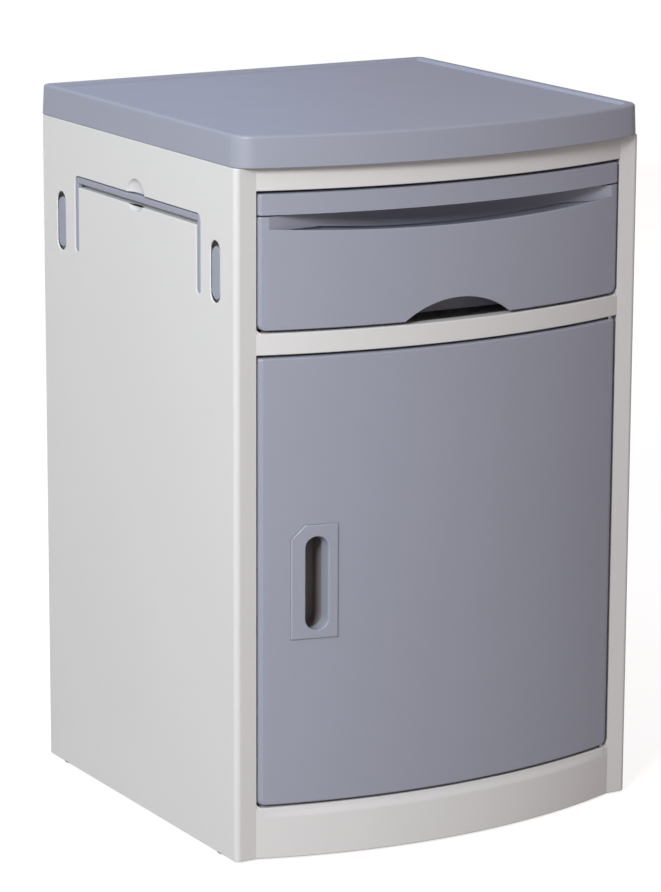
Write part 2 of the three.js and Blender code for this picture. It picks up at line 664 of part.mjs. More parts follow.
function carcass() {
  const light = () => plastic(LIGHT_GREY, 0.5);
  const group = new THREE.Group();
  group.add(named("top_panel", topPanel(), plastic(BLUE_GREY, 0.45)));
  group.add(...pair("side_panel", sidePanel(), light));
  group.add(...pair("side_liner", sideLiner(), light));
  group.add(named("back_panel", backPanel(), light()));
  group.add(named("base_panel", basePanel(), light()));
  group.add(named("kick_plate", kickPlate(), light()));
  group.add(named("mid_rail", midRail(), light()));
  group.add(named("top_rail", bowedRail(FRONT_ARC, [TOP_RAIL.low, TOP_RAIL.high]), light()));
  group.add(named("drawer_deck", deckPlate(FRONT_ARC, [DECK.low, DECK.high]), light()));
  const shelf = block([-OPEN_HALF + 1.5, OPEN_HALF - 1.5], [SHELF.frontY, INSIDE_REAR_Y - 14], [SHELF.low, SHELF.high]);
  group.add(named("cupboard_shelf", shelf, light()));
  group.add(...pair("board_track", boardTrack(), light));
  group.add(...pair("drawer_track", drawerTrack(), () => metal(STEEL, 0.35)));
  group.add(named("hinge_bush_lower", hingeBush(LOWER_BUSH), plastic(NYLON, 0.4)));
  group.add(named("hinge_bush_upper", hingeBush(UPPER_BUSH), plastic(NYLON, 0.4)));
  group.add(named("magnetic_catch", magneticCatch(), plastic(BLACK, 0.5)));
  return group;
}

function glides() {
  const group = new THREE.Group();
  const places = { front: GLIDE.y[0], rear: GLIDE.y[1] };
  for (const [end, y] of Object.entries(places)) {
    for (const [side, sign] of [["left", -1], ["right", 1]]) {
      const mesh = named(`glide_${end}_${side}`, glideGeometry(), plastic(BLACK, 0.6));
      group.add(placed(mesh, sign * GLIDE.x, y, 0));
    }
  }
  return group;
}

function backScrews() {
  const group = new THREE.Group();
  const places = { lower: BOSS.heights[0], upper: BOSS.heights[1] };
  for (const [level, z] of Object.entries(places)) {
    for (const [side, sign] of [["left", -1], ["right", 1]]) {
      const mesh = named(`back_screw_${level}_${side}`, screwGeometry(), metal(STEEL, 0.3));
      group.add(placed(mesh, sign * BOSS.x, REAR_Y, z));
    }
  }
  return group;
}

function door() {
  const blueGrey = () => plastic(BLUE_GREY, 0.45);
  const group = new THREE.Group();
  group.add(named("door_skin", doorSkin(), blueGrey()));
  group.add(named("door_inner_panel", doorInnerPanel(), plastic(LIGHT_GREY, 0.5)));
  group.add(named("handle_plate", handlePlate(), blueGrey()));
  group.add(named("handle_pocket", handlePocket(), plastic(BLACK, 0.6)));
  group.add(named("strike_plate", strikePlate(), metal(STEEL, 0.3)));
  const pinRadius = HINGE.pinRadius;
  const lowerPin = hingeBore(pinRadius, [KICK_TOP - PIN.inBush, DOOR.low + PIN.inDoor]);
  const upperPin = hingeBore(pinRadius, [DOOR.high - PIN.inDoor, MID_RAIL.low + PIN.inBush]);
  group.add(named("hinge_pin_lower", lowerPin, metal(STEEL, 0.25)));
  group.add(named("hinge_pin_upper", upperPin, metal(STEEL, 0.25)));
  return group;
}

function drawer() {
  const group = new THREE.Group();
  group.add(named("drawer_front", drawerFront(), plastic(BLUE_GREY, 0.45)));
  group.add(named("drawer_tray", drawerTray(), plastic(LIGHT_GREY, 0.5)));
  group.add(...pair("drawer_glide", drawerGlide(), () => plastic(NYLON, 0.4)));
  return group;
}

// Towel rail, hooks and their pins on one side; sign is -1 on the left and 1 on the right.
function sideFittings(side, sign) {
  const blueGrey = () => plastic(BLUE_GREY, 0.45);
  const group = new THREE.Group();
  const facing = (geometry) => (sign < 0 ? geometry : mirrored(geometry));
  group.add(named(`towel_rail_${side}`, facing(toGeometry(towelRail())), blueGrey()));
  const ends = ["front", "rear"];
  const pivotX = sign * SIDE_PIVOT_X;
  bailPivots().forEach((y, i) => {
    const pin = named(`towel_rail_pin_${ends[i]}_${side}`, pinGeometry(BAIL_PIN_HALF), metal(STEEL, 0.3));
    group.add(placed(pin, pivotX, y, BAIL.pivotZ));
  });
  [HOOK.frontY, HOOK.rearY].forEach((y, i) => {
    const tongue = named(`hook_${ends[i]}_${side}`, facing(hook()), blueGrey());
    const pin = named(`hook_pin_${ends[i]}_${side}`, pinGeometry(HOOK_PIN_HALF), metal(STEEL, 0.3));
    group.add(placed(tongue, pivotX, y, HOOK.pivotZ), placed(pin, pivotX, y, HOOK.pivotZ));
  });
  return group;
}

const cabinet = new THREE.Group();
cabinet.name = "bedside_cabinet";
cabinet.add(carcass(), glides(), backScrews(), door(), drawer());
cabinet.add(named("dining_board", diningBoard(), plastic(BLUE_GREY, 0.45)));
cabinet.add(sideFittings("left", -1), sideFittings("right", 1));

export default cabinet;
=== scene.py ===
"""The looks of a hospital bedside cabinet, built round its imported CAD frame.

Shapes are drawn in millimetres in the frame's axes (+Z up, the front towards -Y) and scaled to
metres when a piece is finished. A bowed piece is drawn with a flat front, cut and rounded there,
and then bent round the bow.
"""

import math

import bmesh
import bpy
from mathutils import Matrix, Vector


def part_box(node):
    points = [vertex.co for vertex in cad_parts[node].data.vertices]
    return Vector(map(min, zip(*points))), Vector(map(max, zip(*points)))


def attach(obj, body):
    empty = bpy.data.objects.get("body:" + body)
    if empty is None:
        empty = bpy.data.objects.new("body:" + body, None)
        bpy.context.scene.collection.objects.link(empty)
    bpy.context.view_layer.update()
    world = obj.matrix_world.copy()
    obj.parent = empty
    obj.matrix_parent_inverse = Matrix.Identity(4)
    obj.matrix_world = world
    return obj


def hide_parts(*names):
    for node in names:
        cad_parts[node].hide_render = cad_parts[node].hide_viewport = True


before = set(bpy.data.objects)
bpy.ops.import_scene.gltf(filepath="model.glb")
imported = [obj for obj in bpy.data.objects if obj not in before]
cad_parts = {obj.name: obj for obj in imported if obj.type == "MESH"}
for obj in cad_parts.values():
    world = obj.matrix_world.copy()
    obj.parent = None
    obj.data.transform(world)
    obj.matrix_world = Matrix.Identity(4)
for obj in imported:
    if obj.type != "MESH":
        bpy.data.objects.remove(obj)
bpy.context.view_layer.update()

MM = 0.001
SIDES = (("left", -1), ("right", 1))


def span(node):
    """A CAD node's box at rest, as (low, high) along x, y and z, in millimetres."""
    low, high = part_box(node)
    return [(low[i] / MM, high[i] / MM) for i in range(3)]


# ---------------------------------------------------------------- driving values from the frame

TOP_Y, TOP_Z = span("top_panel")[1:]
SIDE_X, SIDE_Y, SIDE_Z = span("side_panel_left")
DOOR_Y, DOOR_Z = span("door_skin")[1:]
DRAWER_Y, DRAWER_Z = span("drawer_front")[1:]
BOARD_X, BOARD_Y = span("dining_board")[:2]
HANDLE_X, _, HANDLE_Z = span("handle_plate")
POCKET_X, POCKET_Y, POCKET_Z = span("handle_pocket")
RAIL_X, RAIL_Y, RAIL_Z = span("towel_rail_left")
HOOK_X, HOOK_Y, HOOK_Z = span("hook_front_left")
TRAY_X, TRAY_Y, TRAY_Z = span("drawer_tray")
BACK_X, BACK_Y, BACK_Z = span("back_panel")
LINER_X = span("side_liner_left")[0]
KICK_Y, KICK_Z = span("kick_plate")[1:]
MID_RAIL_Y, MID_RAIL_Z = span("mid_rail")[1:]
TOP_RAIL_Z = span("top_rail")[2]
BUSH_X, BUSH_Y, BUSH_Z = span("hinge_bush_lower")

HALF_W = -SIDE_X[0]
OPEN_HALF = -SIDE_X[1]
STILE_Y = SIDE_Y[0]
FRONT = MID_RAIL_Y[0]  # the middle of the bowed front stands here
BEAD = 1.0  # a bead along each stile narrows the opening
OPENING = OPEN_HALF - BEAD  # half the width between the beads
LEAF_PLAY = 2.2  # between a bead and the door, the drawer front or the board's lip
LEAF = OPENING - LEAF_PLAY
LEAF_X = (-LEAF, LEAF)
TOP_SAGITTA = 45.0  # how far the top's bowed front stands before its ends
PIN_X = -236.5  # the axis of the left towel rail and hooks

GAP = 0.3  # the play between pieces that fit into each other
PAST = 5.0  # a cutting tool reaches this far past the piece that it cuts
OVERLAP = 1.0  # the overlap of solids that are joined or open into each other


def bow(front_y, half, end_y):
    """An arc in plan about a vertical line on the centre plane, as (radius, centre y)."""
    sagitta = end_y - front_y
    radius = (half**2 + sagitta**2) / (2 * sagitta)
    return radius, front_y + radius


FRONT_BOW = bow(FRONT, OPENING, STILE_Y)
KICK_BOW = bow(KICK_Y[0], OPENING, STILE_Y)
TOP_BOW = bow(TOP_Y[0], HALF_W, TOP_Y[0] + TOP_SAGITTA)


def bow_y(bowed, x, inset=0):
    """Where a bow, moved in by inset, stands along y at x."""
    radius, centre = bowed
    return centre - math.sqrt((radius - inset) ** 2 - x**2)


# ---------------------------------------------------------------- mesh kit


def new_object(name, bm):
    bmesh.ops.recalc_face_normals(bm, faces=bm.faces)
    mesh = bpy.data.meshes.new(name)
    bm.to_mesh(mesh)
    bm.free()
    obj = bpy.data.objects.new(name, mesh)
    bpy.context.scene.collection.objects.link(obj)
    return obj


def loft(name, rings):
    """A closed solid through rings of equally many points, with its first and last ring capped."""
    bm = bmesh.new()
    rows = [[bm.verts.new(point) for point in ring] for ring in rings]
    count = len(rings[0])
    for a, b in zip(rows, rows[1:]):
        for i in range(count):
            j = (i + 1) % count
            bm.faces.new((a[i], a[j], b[j], b[i]))
    bm.faces.new(rows[0])
    bm.faces.new(rows[-1])
    return new_object(name, bm)


def prism(name, outline, axis, low, high):
    """A straight prism: the outline is (y, z), (x, z) or (x, y) for the axis x, y or z."""
    index = "xyz".index(axis)

    def ring(at):
        return [(*point[:index], at, *point[index:]) for point in outline]

    return loft(name, [ring(low), ring(high)])


def block(name, x, y, z):
    """A plain box for cutting or joining, from its (low, high) along the three axes."""
    corners = [(x[0], z[0]), (x[1], z[0]), (x[1], z[1]), (x[0], z[1])]
    return prism(name, corners, "y", *y)


def arc(centre, radius, start, end, steps):
    """Points on an arc; the angles are in degrees, and both ends are included."""
    angles = [math.radians(start + (end - start) * i / steps) for i in range(steps + 1)]
    return [(centre[0] + radius * math.cos(a), centre[1] + radius * math.sin(a)) for a in angles]


def rounded_rectangle(a, b, radius, steps=6, top=None):
    """Outline with round corners, counter-clockwise; a and b are (low, high) along the two axes.

    The upper corners have the radius top, if it is given.
    """
    r = radius
    t = radius if top is None else top
    return [
        *arc((a[1] - r, b[0] + r), r, -90, 0, steps),
        *arc((a[1] - t, b[1] - t), t, 0, 90, steps),
        *arc((a[0] + t, b[1] - t), t, 90, 180, steps),
        *arc((a[0] + r, b[0] + r), r, 180, 270, steps),
    ]


def pill(a, b, steps=16):
    """Upright slot outline with half-round ends."""
    r = (a[1] - a[0]) / 2
    middle = sum(a) / 2
    upper = arc((middle, b[1] - r), r, 0, 180, steps)
    lower = arc((middle, b[0] + r), r, 180, 360, steps)
    return upper + lower


def grown(extent, amount):
    """A (low, high) made longer by amount at both ends."""
    return extent[0] - amount, extent[1] + amount


def circle(centre, radius, sides):
    return arc(centre, radius, 0, 360 - 360 / sides, sides - 1)


def cylinder(name, axis, radius, low, high, centre, sides=32):
    """A round tool for cutting; its centre is given along the two other axes."""
    return prism(name, circle(centre, radius, sides), axis, low, high)


def ellipsoid(name, radii, centre, around=60, rings=30):
    bm = bmesh.new()
    matrix = Matrix.Translation(centre) @ Matrix.Diagonal((*radii, 1))
    bmesh.ops.create_uvsphere(bm, u_segments=around, v_segments=rings, radius=1, matrix=matrix)
    return new_object(name, bm)


def settle(obj):
    """Applies the object's modifiers to its mesh."""
    graph = bpy.context.evaluated_depsgraph_get()
    mesh = bpy.data.meshes.new_from_object(obj.evaluated_get(graph))
    obj.modifiers.clear()
    old, obj.data = obj.data, mesh
    bpy.data.meshes.remove(old)


def combine(base, tools, operation="DIFFERENCE"):
    """Applies one boolean after another and uses up the tools."""
    for tool in tools:
        modifier = base.modifiers.new("combine", "BOOLEAN")
        modifier.operation = operation
        modifier.solver = "EXACT"
        modifier.object = tool
        settle(base)
        bpy.data.objects.remove(tool)
    tidy(base)
    return base


def cut(base, *tools):
    return combine(base, tools)


def join(base, *tools):
    return combine(base, tools, "UNION")


def tidy(obj, distance=0.02, angle=0.4):
    """Merges doubled points and the coplanar faces that a cut leaves."""
    bm = bmesh.new()
    bm.from_mesh(obj.data)
    bmesh.ops.remove_doubles(bm, verts=bm.verts, dist=distance)
    bmesh.ops.dissolve_limit(bm, angle_limit=math.radians(angle), verts=bm.verts, edges=bm.edges)
    bm.to_mesh(obj.data)
    bm.free()


def round_edges(obj, width, segments=3, angle=50, keep=None):
    """Rounds the edges that turn by more than angle, except those whose middle keep() picks out."""
    bm = bmesh.new()
    bm.from_mesh(obj.data)
    weight = bm.edges.layers.float.new("bevel_weight_edge")
    limit = math.radians(angle)
    for edge in bm.edges:
        middle = (edge.verts[0].co + edge.verts[1].co) / 2
        sharp = edge.calc_face_angle(0) > limit
        edge[weight] = float(sharp and not (keep and keep(middle)))
    bm.to_mesh(obj.data)
    bm.free()
    modifier = obj.modifiers.new("round", "BEVEL")
    modifier.width = width
    modifier.segments = segments
    modifier.limit_method = "WEIGHT"
    modifier.use_clamp_overlap = False
    modifier.loop_slide = True
    settle(obj)
    return obj


BEND_STEP = 9.0  # the width of a bent face
SKIN = 10.0


def bend(obj, bowed, front, back, skin=SKIN):
    """Bends a flat-fronted piece round a bow and leaves what lies at back or behind it in place.

    The first millimetres behind the front, skin deep, don't get thinner.
    """
    bm = bmesh.new()
    bm.from_mesh(obj.data)
    reach = max(abs(v.co.x) for v in bm.verts)
    count = max(2, round(2 * reach / BEND_STEP))
    for i in range(1, count):
        x = -reach + 2 * reach * i / count
        near = [v for v in bm.verts if v.co.y < back + OVERLAP]
        geometry = near + list({e for v in near for e in v.link_edges})
        geometry += list({f for v in near for f in v.link_faces})
        bmesh.ops.bisect_plane(bm, geom=geometry, plane_co=(x, 0, 0), plane_no=(1, 0, 0), dist=1e-4)
    for v in bm.verts:
        share = (back - v.co.y) / (back - front - skin)
        v.co.y += (bow_y(bowed, v.co.x) - front) * min(max(share, 0), 1)
    bm.to_mesh(obj.data)
    bm.free()
    return obj


def unbent_y(bowed, front, back, x, y):
    """Where a point at y on the bent piece lies before bending."""
    lift = bow_y(bowed, x) - front
    if y < front + SKIN + lift:
        return y - lift
    depth = back - front - SKIN
    return (y - lift * back / depth) / (1 - lift / depth)


# ---------------------------------------------------------------- materials


def node_kit(name):
    """A new material, its shader, its links, and makers of nodes and of noise textures."""
    material = bpy.data.materials.new(name)
    material.use_nodes = True
    tree = material.node_tree
    links = tree.links

    def node(kind, **values):
        made = tree.nodes.new("ShaderNode" + kind)
        for key, value in values.items():
            if hasattr(made, key):
                setattr(made, key, value)
            else:
                made.inputs[key.replace("_", " ")].default_value = value
        return made

    def noise(place, **values):
        made = node("TexNoise", **values)
        links.new(place, made.inputs["Vector"])
        return made

    return material, tree.nodes["Principled BSDF"], links, node, noise


def shaded(colour, factor):
    return (*[min(1.0, c * factor) for c in colour], 1.0)


SPECKLE_SHARE = 0.25  # of the colour's variation, beside broad clouds
# Paler edges are partly wear and partly a painted highlight along each edge.
EDGE_WEAR_AND_HIGHLIGHT_RADIUS = 0.0014  # how far from an edge it pales, in metres
EDGE_WEAR_AND_HIGHLIGHT_FACTOR = 1.5  # a pale edge's brightness over the colour's


def moulded(name, colour, roughness, grain=1300.0, grain_depth=0.12, variation=0.035, edge_wear_and_highlight=0.12):
    """Injection-moulded plastic.

    It has spark-eroded grain, a slight waviness, uneven gloss and paler edges, partly wear and
    partly painted highlight.
    """
    material, shader, links, node, noise = node_kit(name)
    place = node("TexCoord").outputs["Object"]

    clouds = noise(place, Scale=5.0, Detail=3.0, Roughness=0.55)
    speckle = noise(place, Scale=650.0, Detail=1.0)
    tone = node("Mix", data_type="RGBA")
    tone.inputs["A"].default_value = shaded(colour, 1 - variation)
    tone.inputs["B"].default_value = shaded(colour, 1 + variation)
    blend = node("Math", operation="MULTIPLY_ADD")
    blend.inputs[1].default_value = SPECKLE_SHARE
    links.new(speckle.outputs["Fac"], blend.inputs[0])
    weight = node("Math", operation="MULTIPLY")
    weight.inputs[1].default_value = 1 - SPECKLE_SHARE
    links.new(clouds.outputs["Fac"], weight.inputs[0])
    links.new(weight.outputs[0], blend.inputs[2])
    links.new(blend.outputs[0], tone.inputs["Factor"])

    # Paler edges, broken up by noise: partly wear, partly a painted highlight.
    edge = node("Bevel", samples=4)
    edge.inputs["Radius"].default_value = EDGE_WEAR_AND_HIGHLIGHT_RADIUS
    geometry = node("NewGeometry")
    facing = node("VectorMath", operation="DOT_PRODUCT")
    links.new(edge.outputs[0], facing.inputs[0])
    links.new(geometry.outputs["Normal"], facing.inputs[1])
    edge_wear_and_highlight_mask = node("MapRange", clamp=True)
    for key, value in {"From Min": 0.995, "From Max": 0.9, "To Min": 0.0, "To Max": edge_wear_and_highlight}.items():
        edge_wear_and_highlight_mask.inputs[key].default_value = value
    links.new(facing.outputs["Value"], edge_wear_and_highlight_mask.inputs["Value"])
    edge_wear_and_highlight_breakup = noise(place, Scale=38.0, Detail=4.0, Roughness=0.7)
    broken_edge_wear_and_highlight = node("Math", operation="MULTIPLY")
    links.new(edge_wear_and_highlight_mask.outputs[0], broken_edge_wear_and_highlight.inputs[0])
    links.new(edge_wear_and_highlight_breakup.outputs["Fac"], broken_edge_wear_and_highlight.inputs[1])
    paint = node("Mix", data_type="RGBA")
    links.new(broken_edge_wear_and_highlight.outputs[0], paint.inputs["Factor"])
    links.new(tone.outputs["Result"], paint.inputs["A"])
    paint.inputs["B"].default_value = shaded(colour, EDGE_WEAR_AND_HIGHLIGHT_FACTOR)
    links.new(paint.outputs["Result"], shader.inputs["Base Color"])

    gloss = node("MapRange")
    for key, value in {"To Min": roughness - 0.05, "To Max": roughness + 0.07}.items():
        gloss.inputs[key].default_value = value
    patches = noise(place, Scale=17.0, Detail=5.0, Roughness=0.6)
    links.new(patches.outputs["Fac"], gloss.inputs["Value"])
    links.new(gloss.outputs[0], shader.inputs["Roughness"])

    texture = noise(place, Scale=grain, Detail=2.0, Roughness=0.5)
    fine = node("Bump", Strength=grain_depth, Distance=0.0002)
    links.new(texture.outputs["Fac"], fine.inputs["Height"])
    ripple = noise(place, Scale=28.0, Detail=1.0)
    wavy = node("Bump", Strength=0.06, Distance=0.001)
    links.new(ripple.outputs["Fac"], wavy.inputs["Height"])
    links.new(fine.outputs["Normal"], wavy.inputs["Normal"])
    links.new(wavy.outputs["Normal"], shader.inputs["Normal"])
    shader.inputs["IOR"].default_value = 1.5
    shader.inputs["Specular IOR Level"].default_value = 0.5
    return material


def plated_steel(name, colour, roughness):
    """Zinc-plated steel with fine drawing lines along y and a cloudy passivated film."""
    material, shader, links, node, noise = node_kit(name)
    place = node("TexCoord").outputs["Object"]
    stretch = node("Mapping")
    stretch.inputs["Scale"].default_value = (900, 12, 900)
    links.new(place, stretch.inputs["Vector"])
    lines = noise(stretch.outputs[0], Scale=1.0, Detail=3.0)
    film = noise(place, Scale=60.0, Detail=4.0)
    tone = node("Mix", data_type="RGBA")
    tone.inputs["A"].default_value = shaded(colour, 0.86)
    tone.inputs["B"].default_value = shaded(colour, 1.08)
    links.new(film.outputs["Fac"], tone.inputs["Factor"])
    links.new(tone.outputs["Result"], shader.inputs["Base Color"])
    gloss = node("MapRange")
    for key, value in {"To Min": roughness - 0.08, "To Max": roughness + 0.1}.items():
        gloss.inputs[key].default_value = value
    links.new(lines.outputs["Fac"], gloss.inputs["Value"])
    links.new(gloss.outputs[0], shader.inputs["Roughness"])
    relief = node("Bump", Strength=0.15, Distance=0.0001)
    links.new(lines.outputs["Fac"], relief.inputs["Height"])
    links.new(relief.outputs["Normal"], shader.inputs["Normal"])
    shader.inputs["Metallic"].default_value = 1.0
    return material


MATERIALS = {
    "carcass_grey": moulded("carcass_grey", (0.663, 0.67, 0.678), 0.42),
    "blue_grey": moulded("blue_grey", (0.308, 0.33, 0.405), 0.4),
    # Dark plastic of the magnetic catch and the glides; in the door's finger cup it is painted
    # shade.
    "black_plastic": moulded(
        "black_plastic", (0.24, 0.224, 0.226), 0.5, grain=900, grain_depth=0.2
    ),
    "nylon": moulded("nylon", (0.72, 0.71, 0.66), 0.36, grain_depth=0.05),
    "zinc_steel": plated_steel("zinc_steel", (0.62, 0.63, 0.65), 0.32),
}

# ---------------------------------------------------------------- finishing


SHARP = 55.0  # an edge that turns by more degrees than this stays sharp


def finish_piece(obj, body, slot, *nodes):
    """Scales a drawn piece to metres, smooths it, and puts it in the place of its CAD nodes.

    The piece gets the slot's material and rides on the body.
    """
    obj.data.transform(Matrix.Scale(MM, 4))
    obj.data.materials.clear()
    obj.data.materials.append(MATERIALS[slot])
    obj.data.shade_smooth()
    obj.data.set_sharp_from_angle(angle=math.radians(SHARP))
    weighted = obj.modifiers.new("normals", "WEIGHTED_NORMAL")
    weighted.mode = "FACE_AREA_WITH_ANGLE"
    weighted.weight = 90
    weighted.keep_sharp = True
    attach(obj, body)
    if nodes:
        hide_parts(*nodes)
    return obj


def mirrored(obj, name):
    """A copy of a left piece for the right side."""
    copy = bpy.data.objects.new(name, obj.data.copy())
    bpy.context.scene.collection.objects.link(copy)
    copy.data.transform(Matrix.Scale(-1, 4, (1, 0, 0)))
    copy.data.flip_normals()
    return copy


def both_sides(left, piece, node, body, slot):
    """Finishes a left piece and its mirror image; {} in a name stands for the side."""
    right = mirrored(left, piece.format("right"))
    for obj, (side, _) in zip((left, right), SIDES):
        finish_piece(obj, body.format(side), slot, node.format(side))


def finish_node(name, slot, width=0.5):
    """Softens a CAD node's edges, by width, with modifiers and gives it its material."""
    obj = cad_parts[name]
    weld = obj.modifiers.new("weld", "WELD")
    weld.merge_threshold = 1e-5
    flat = obj.modifiers.new("flat", "DECIMATE")
    flat.decimate_type = "DISSOLVE"
    flat.angle_limit = math.radians(0.5)
    edge = obj.modifiers.new("edge", "BEVEL")
    edge.width = width * MM
    edge.segments = 2
    edge.limit_method = "ANGLE"
    edge.angle_limit = math.radians(35)
    edge.use_clamp_overlap = True
    obj.data.shade_smooth()
    weighted = obj.modifiers.new("normals", "WEIGHTED_NORMAL")
    weighted.keep_sharp = True
    obj.data.materials.clear()
    obj.data.materials.append(MATERIALS[slot])


# ---------------------------------------------------------------- top panel

TOP = {
    "skirt": 4.0,  # wall thickness of the skirt and of the field
    "skin": 4.0,
    "rim": 11.5,  # the rim's width, and how deep the field lies below it
    "dish": 3.0,
    "corner": 9.0,
    "front_corner": 19.0,
    "draft": 1.2,  # how far the skirt leans in, up to its rolled top edge
    "roll": 3.2,
    "inner_edge": 0.5,
}
SKIRT_FOOT = [(0.9, 0), (0.25, 0.25), (0, 0.9)]  # the outer lower edge, as (inwards, up)
RIM_CREST = [(-1.6, 0), (-0.5, 0.12), (0.4, 0.55), (1.2, 1.5)]  # (past the rim, below the top)
RIM_FOOT = [(2.0, 0.62), (3.0, 0.14), (4.5, 0)]  # (past the rim, above the dish)


def top_outline(inset):
    """The top's plan outline, moved in by inset: a bowed front, straight sides and soft corners."""
    side = HALF_W - inset
    rear = TOP_Y[1] - inset
    front_corner = TOP["front_corner"] - inset / 2
    rear_corner = TOP["corner"] - inset / 2
    edge = bow_y(TOP_BOW, side, inset)
    count = 48

    def soft(start, turn, end, steps=9):
        """A curve that leaves one straight towards the turn and arrives at the next from it."""
        points = []
        for i in range(steps + 1):
            t = i / steps
            a, b, c = (1 - t) ** 2, 2 * t * (1 - t), t**2
            points.append(tuple(a * p + b * q + c * r for p, q, r in zip(start, turn, end)))
        return points

    reach = side - front_corner
    places = [-reach + 2 * reach * i / count for i in range(count + 1)]
    front = [(x, bow_y(TOP_BOW, x, inset)) for x in places]
    right = soft(front[-1], (side, edge), (side, edge + front_corner))
    right += soft((side, rear - rear_corner), (side, rear), (side - rear_corner, rear))
    left = [(-x, y) for x, y in reversed(right)]
    return front[1:-1] + right + left


def top_panel():
    """A shell whose dished field lies within a raised rim, over a skirt with a rolled top edge."""
    low, high = TOP_Z
    dish = high - TOP["dish"]
    draft, roll, rim = TOP["draft"], TOP["roll"], TOP["rim"]
    profile = [
        (TOP["skirt"], dish - TOP["skin"]),
        (TOP["skirt"], low + TOP["inner_edge"]),
        (TOP["skirt"] - TOP["inner_edge"], low),
    ]
    profile += [(inwards, low + up) for inwards, up in SKIRT_FOOT]
    steps = 8
    for i in range(steps + 1):
        angle = math.radians(90 * i / steps)
        profile.append((draft + roll * (1 - math.cos(angle)), high - roll * (1 - math.sin(angle))))
    profile += [(rim + past, high - drop) for past, drop in RIM_CREST]
    profile += [(rim + past, dish + rise) for past, rise in RIM_FOOT]
    rings = [[(x, y, z) for x, y in top_outline(inset)] for inset, z in profile]
    finish_piece(loft("top_panel_moulding", rings), "carcass", "blue_grey", "top_panel")


# ---------------------------------------------------------------- side panels

SIDE = {
    "wall": 3.0,
    "front_corner": 6.0,  # radii of the upright corners, and of the other edges
    "rear_corner": 4.0,
    "edge": 1.2,
    "bead": 5.0,  # how deep the bead is before it slopes back
    "bead_end": 7.0,
}
GROOVE_PLAY = 1.2  # round the towel rail
GROOVE_DEPTH = 10.5
HOOK_POCKET = {
    "half": 10.0,
    "low": 577.0,
    "high": 640.0,
    "lip": 2.4,  # the panel's thickness where the hollow behind it is wider than the pocket
    "room": 9.0,  # how much wider and taller that hollow is
    "depth": 17.5,
}
SCOOP_RADII = (5.5, 19.0, 16.5)
BAR_HEIGHT = 6.4
BAR_DROP = 3.0  # the groove is this much lower than the bar needs
ARM = 6.0
BAIL_CORNER = 7.0
HOOK_MIDDLES = [sum(span(f"hook_{end}_left")[1]) / 2 for end in ("front", "rear")]


def bail_outline(grow, drop=0.0, steps=8):
    """The towel rail seen from the side, as (y, z): a bar and two arms with round lower ends."""
    left, right = grown(RAIL_Y, grow)
    low, top = grown(RAIL_Z, grow)
    arm = ARM + 2 * grow
    under = RAIL_Z[1] - BAR_HEIGHT - grow - drop
    r = BAIL_CORNER
    return [
        *arc((left + r, top - r), r, 180, 90, steps),
        *arc((right - r, top - r), r, 90, 0, steps),
        *arc((right - arm / 2, low + arm / 2), arm / 2, 0, -180, 2 * steps),
        (right - arm, under),
        (left + arm, under),
        *arc((left + arm / 2, low + arm / 2), arm / 2, 0, -180, 2 * steps),
    ]


def side_panels():
    """Hollow panels with a front stile, the towel rail's groove and scoop, and hook pockets."""
    wall, front, rear = SIDE["wall"], SIDE["front_corner"], SIDE["rear_corner"]
    outline = [
        (-OPENING, SIDE_Y[0]),
        (-OPENING, SIDE_Y[0] + SIDE["bead"]),
        (-OPEN_HALF, SIDE_Y[0] + SIDE["bead_end"]),
        (-OPEN_HALF, SIDE_Y[1]),
        *arc((-HALF_W + rear, SIDE_Y[1] - rear), rear, 90, 180, 6),
        *arc((-HALF_W + front, SIDE_Y[0] + front), front, 180, 270, 12),
    ]
    panel = prism("side_panel_left_moulding", outline, "z", *SIDE_Z)
    room_x = (LINER_X[0] - GAP, -OPEN_HALF + OVERLAP)
    room = block("room", room_x, grown(SIDE_Y, -wall), grown(SIDE_Z, -wall))
    outside = -HALF_W - PAST
    groove_outline = bail_outline(GROOVE_PLAY, BAR_DROP)
    groove = prism("groove", groove_outline, "x", outside, -HALF_W + GROOVE_DEPTH)
    scoop = ellipsoid("scoop", SCOOP_RADII, (-HALF_W, sum(RAIL_Y) / 2, RAIL_Z[1]))
    tools = [room, groove, scoop]
    behind = (-HALF_W + HOOK_POCKET["lip"], -HALF_W + HOOK_POCKET["depth"])
    pocket_z = (HOOK_POCKET["low"], HOOK_POCKET["high"])
    for middle in HOOK_MIDDLES:
        pocket_y = grown((middle, middle), HOOK_POCKET["half"])
        tools.append(prism("pocket", pill(pocket_y, pocket_z), "x", outside, behind[1]))
        hollow_y, hollow_z = (grown(extent, HOOK_POCKET["room"]) for extent in (pocket_y, pocket_z))
        tools.append(block("hollow", behind, hollow_y, hollow_z))
    cut(panel, *tools)

    def on_bead(p):
        return p.x > -OPENING - OVERLAP and p.y < SIDE_Y[0] + OVERLAP

    round_edges(panel, SIDE["edge"], keep=on_bead)
    both_sides(panel, "side_panel_{}_moulding", "side_panel_{}", "carcass", "carcass_grey")


# ---------------------------------------------------------------- rails and kick plate


RAIL_DEPTH = 14.0
RAIL_EDGE = 1.3
MID_RAIL_TRIM = 0.5  # off the CAD node's lower and upper edge
KICK_EDGE = 1.6
KICK_SINK = 2.6
SINK_STEPS = 5
SINK_STEP = 2.0  # the height of each step down, so that the sink is gone 10 mm lower
SINK_FADE = 6  # the power by which the sink goes towards the rail's ends
HINGE_HOLE_TOP = 70.0  # above the kick plate
GUSSET = {
    "fillet": 7.6,  # 7.8 still clears the open door, and 8.5 doesn't
    "root": 1.5,  # how far it reaches down into the rail
    "front": 0.9,  # how far behind the bow it starts and ends
    "rear": 12.0,
}


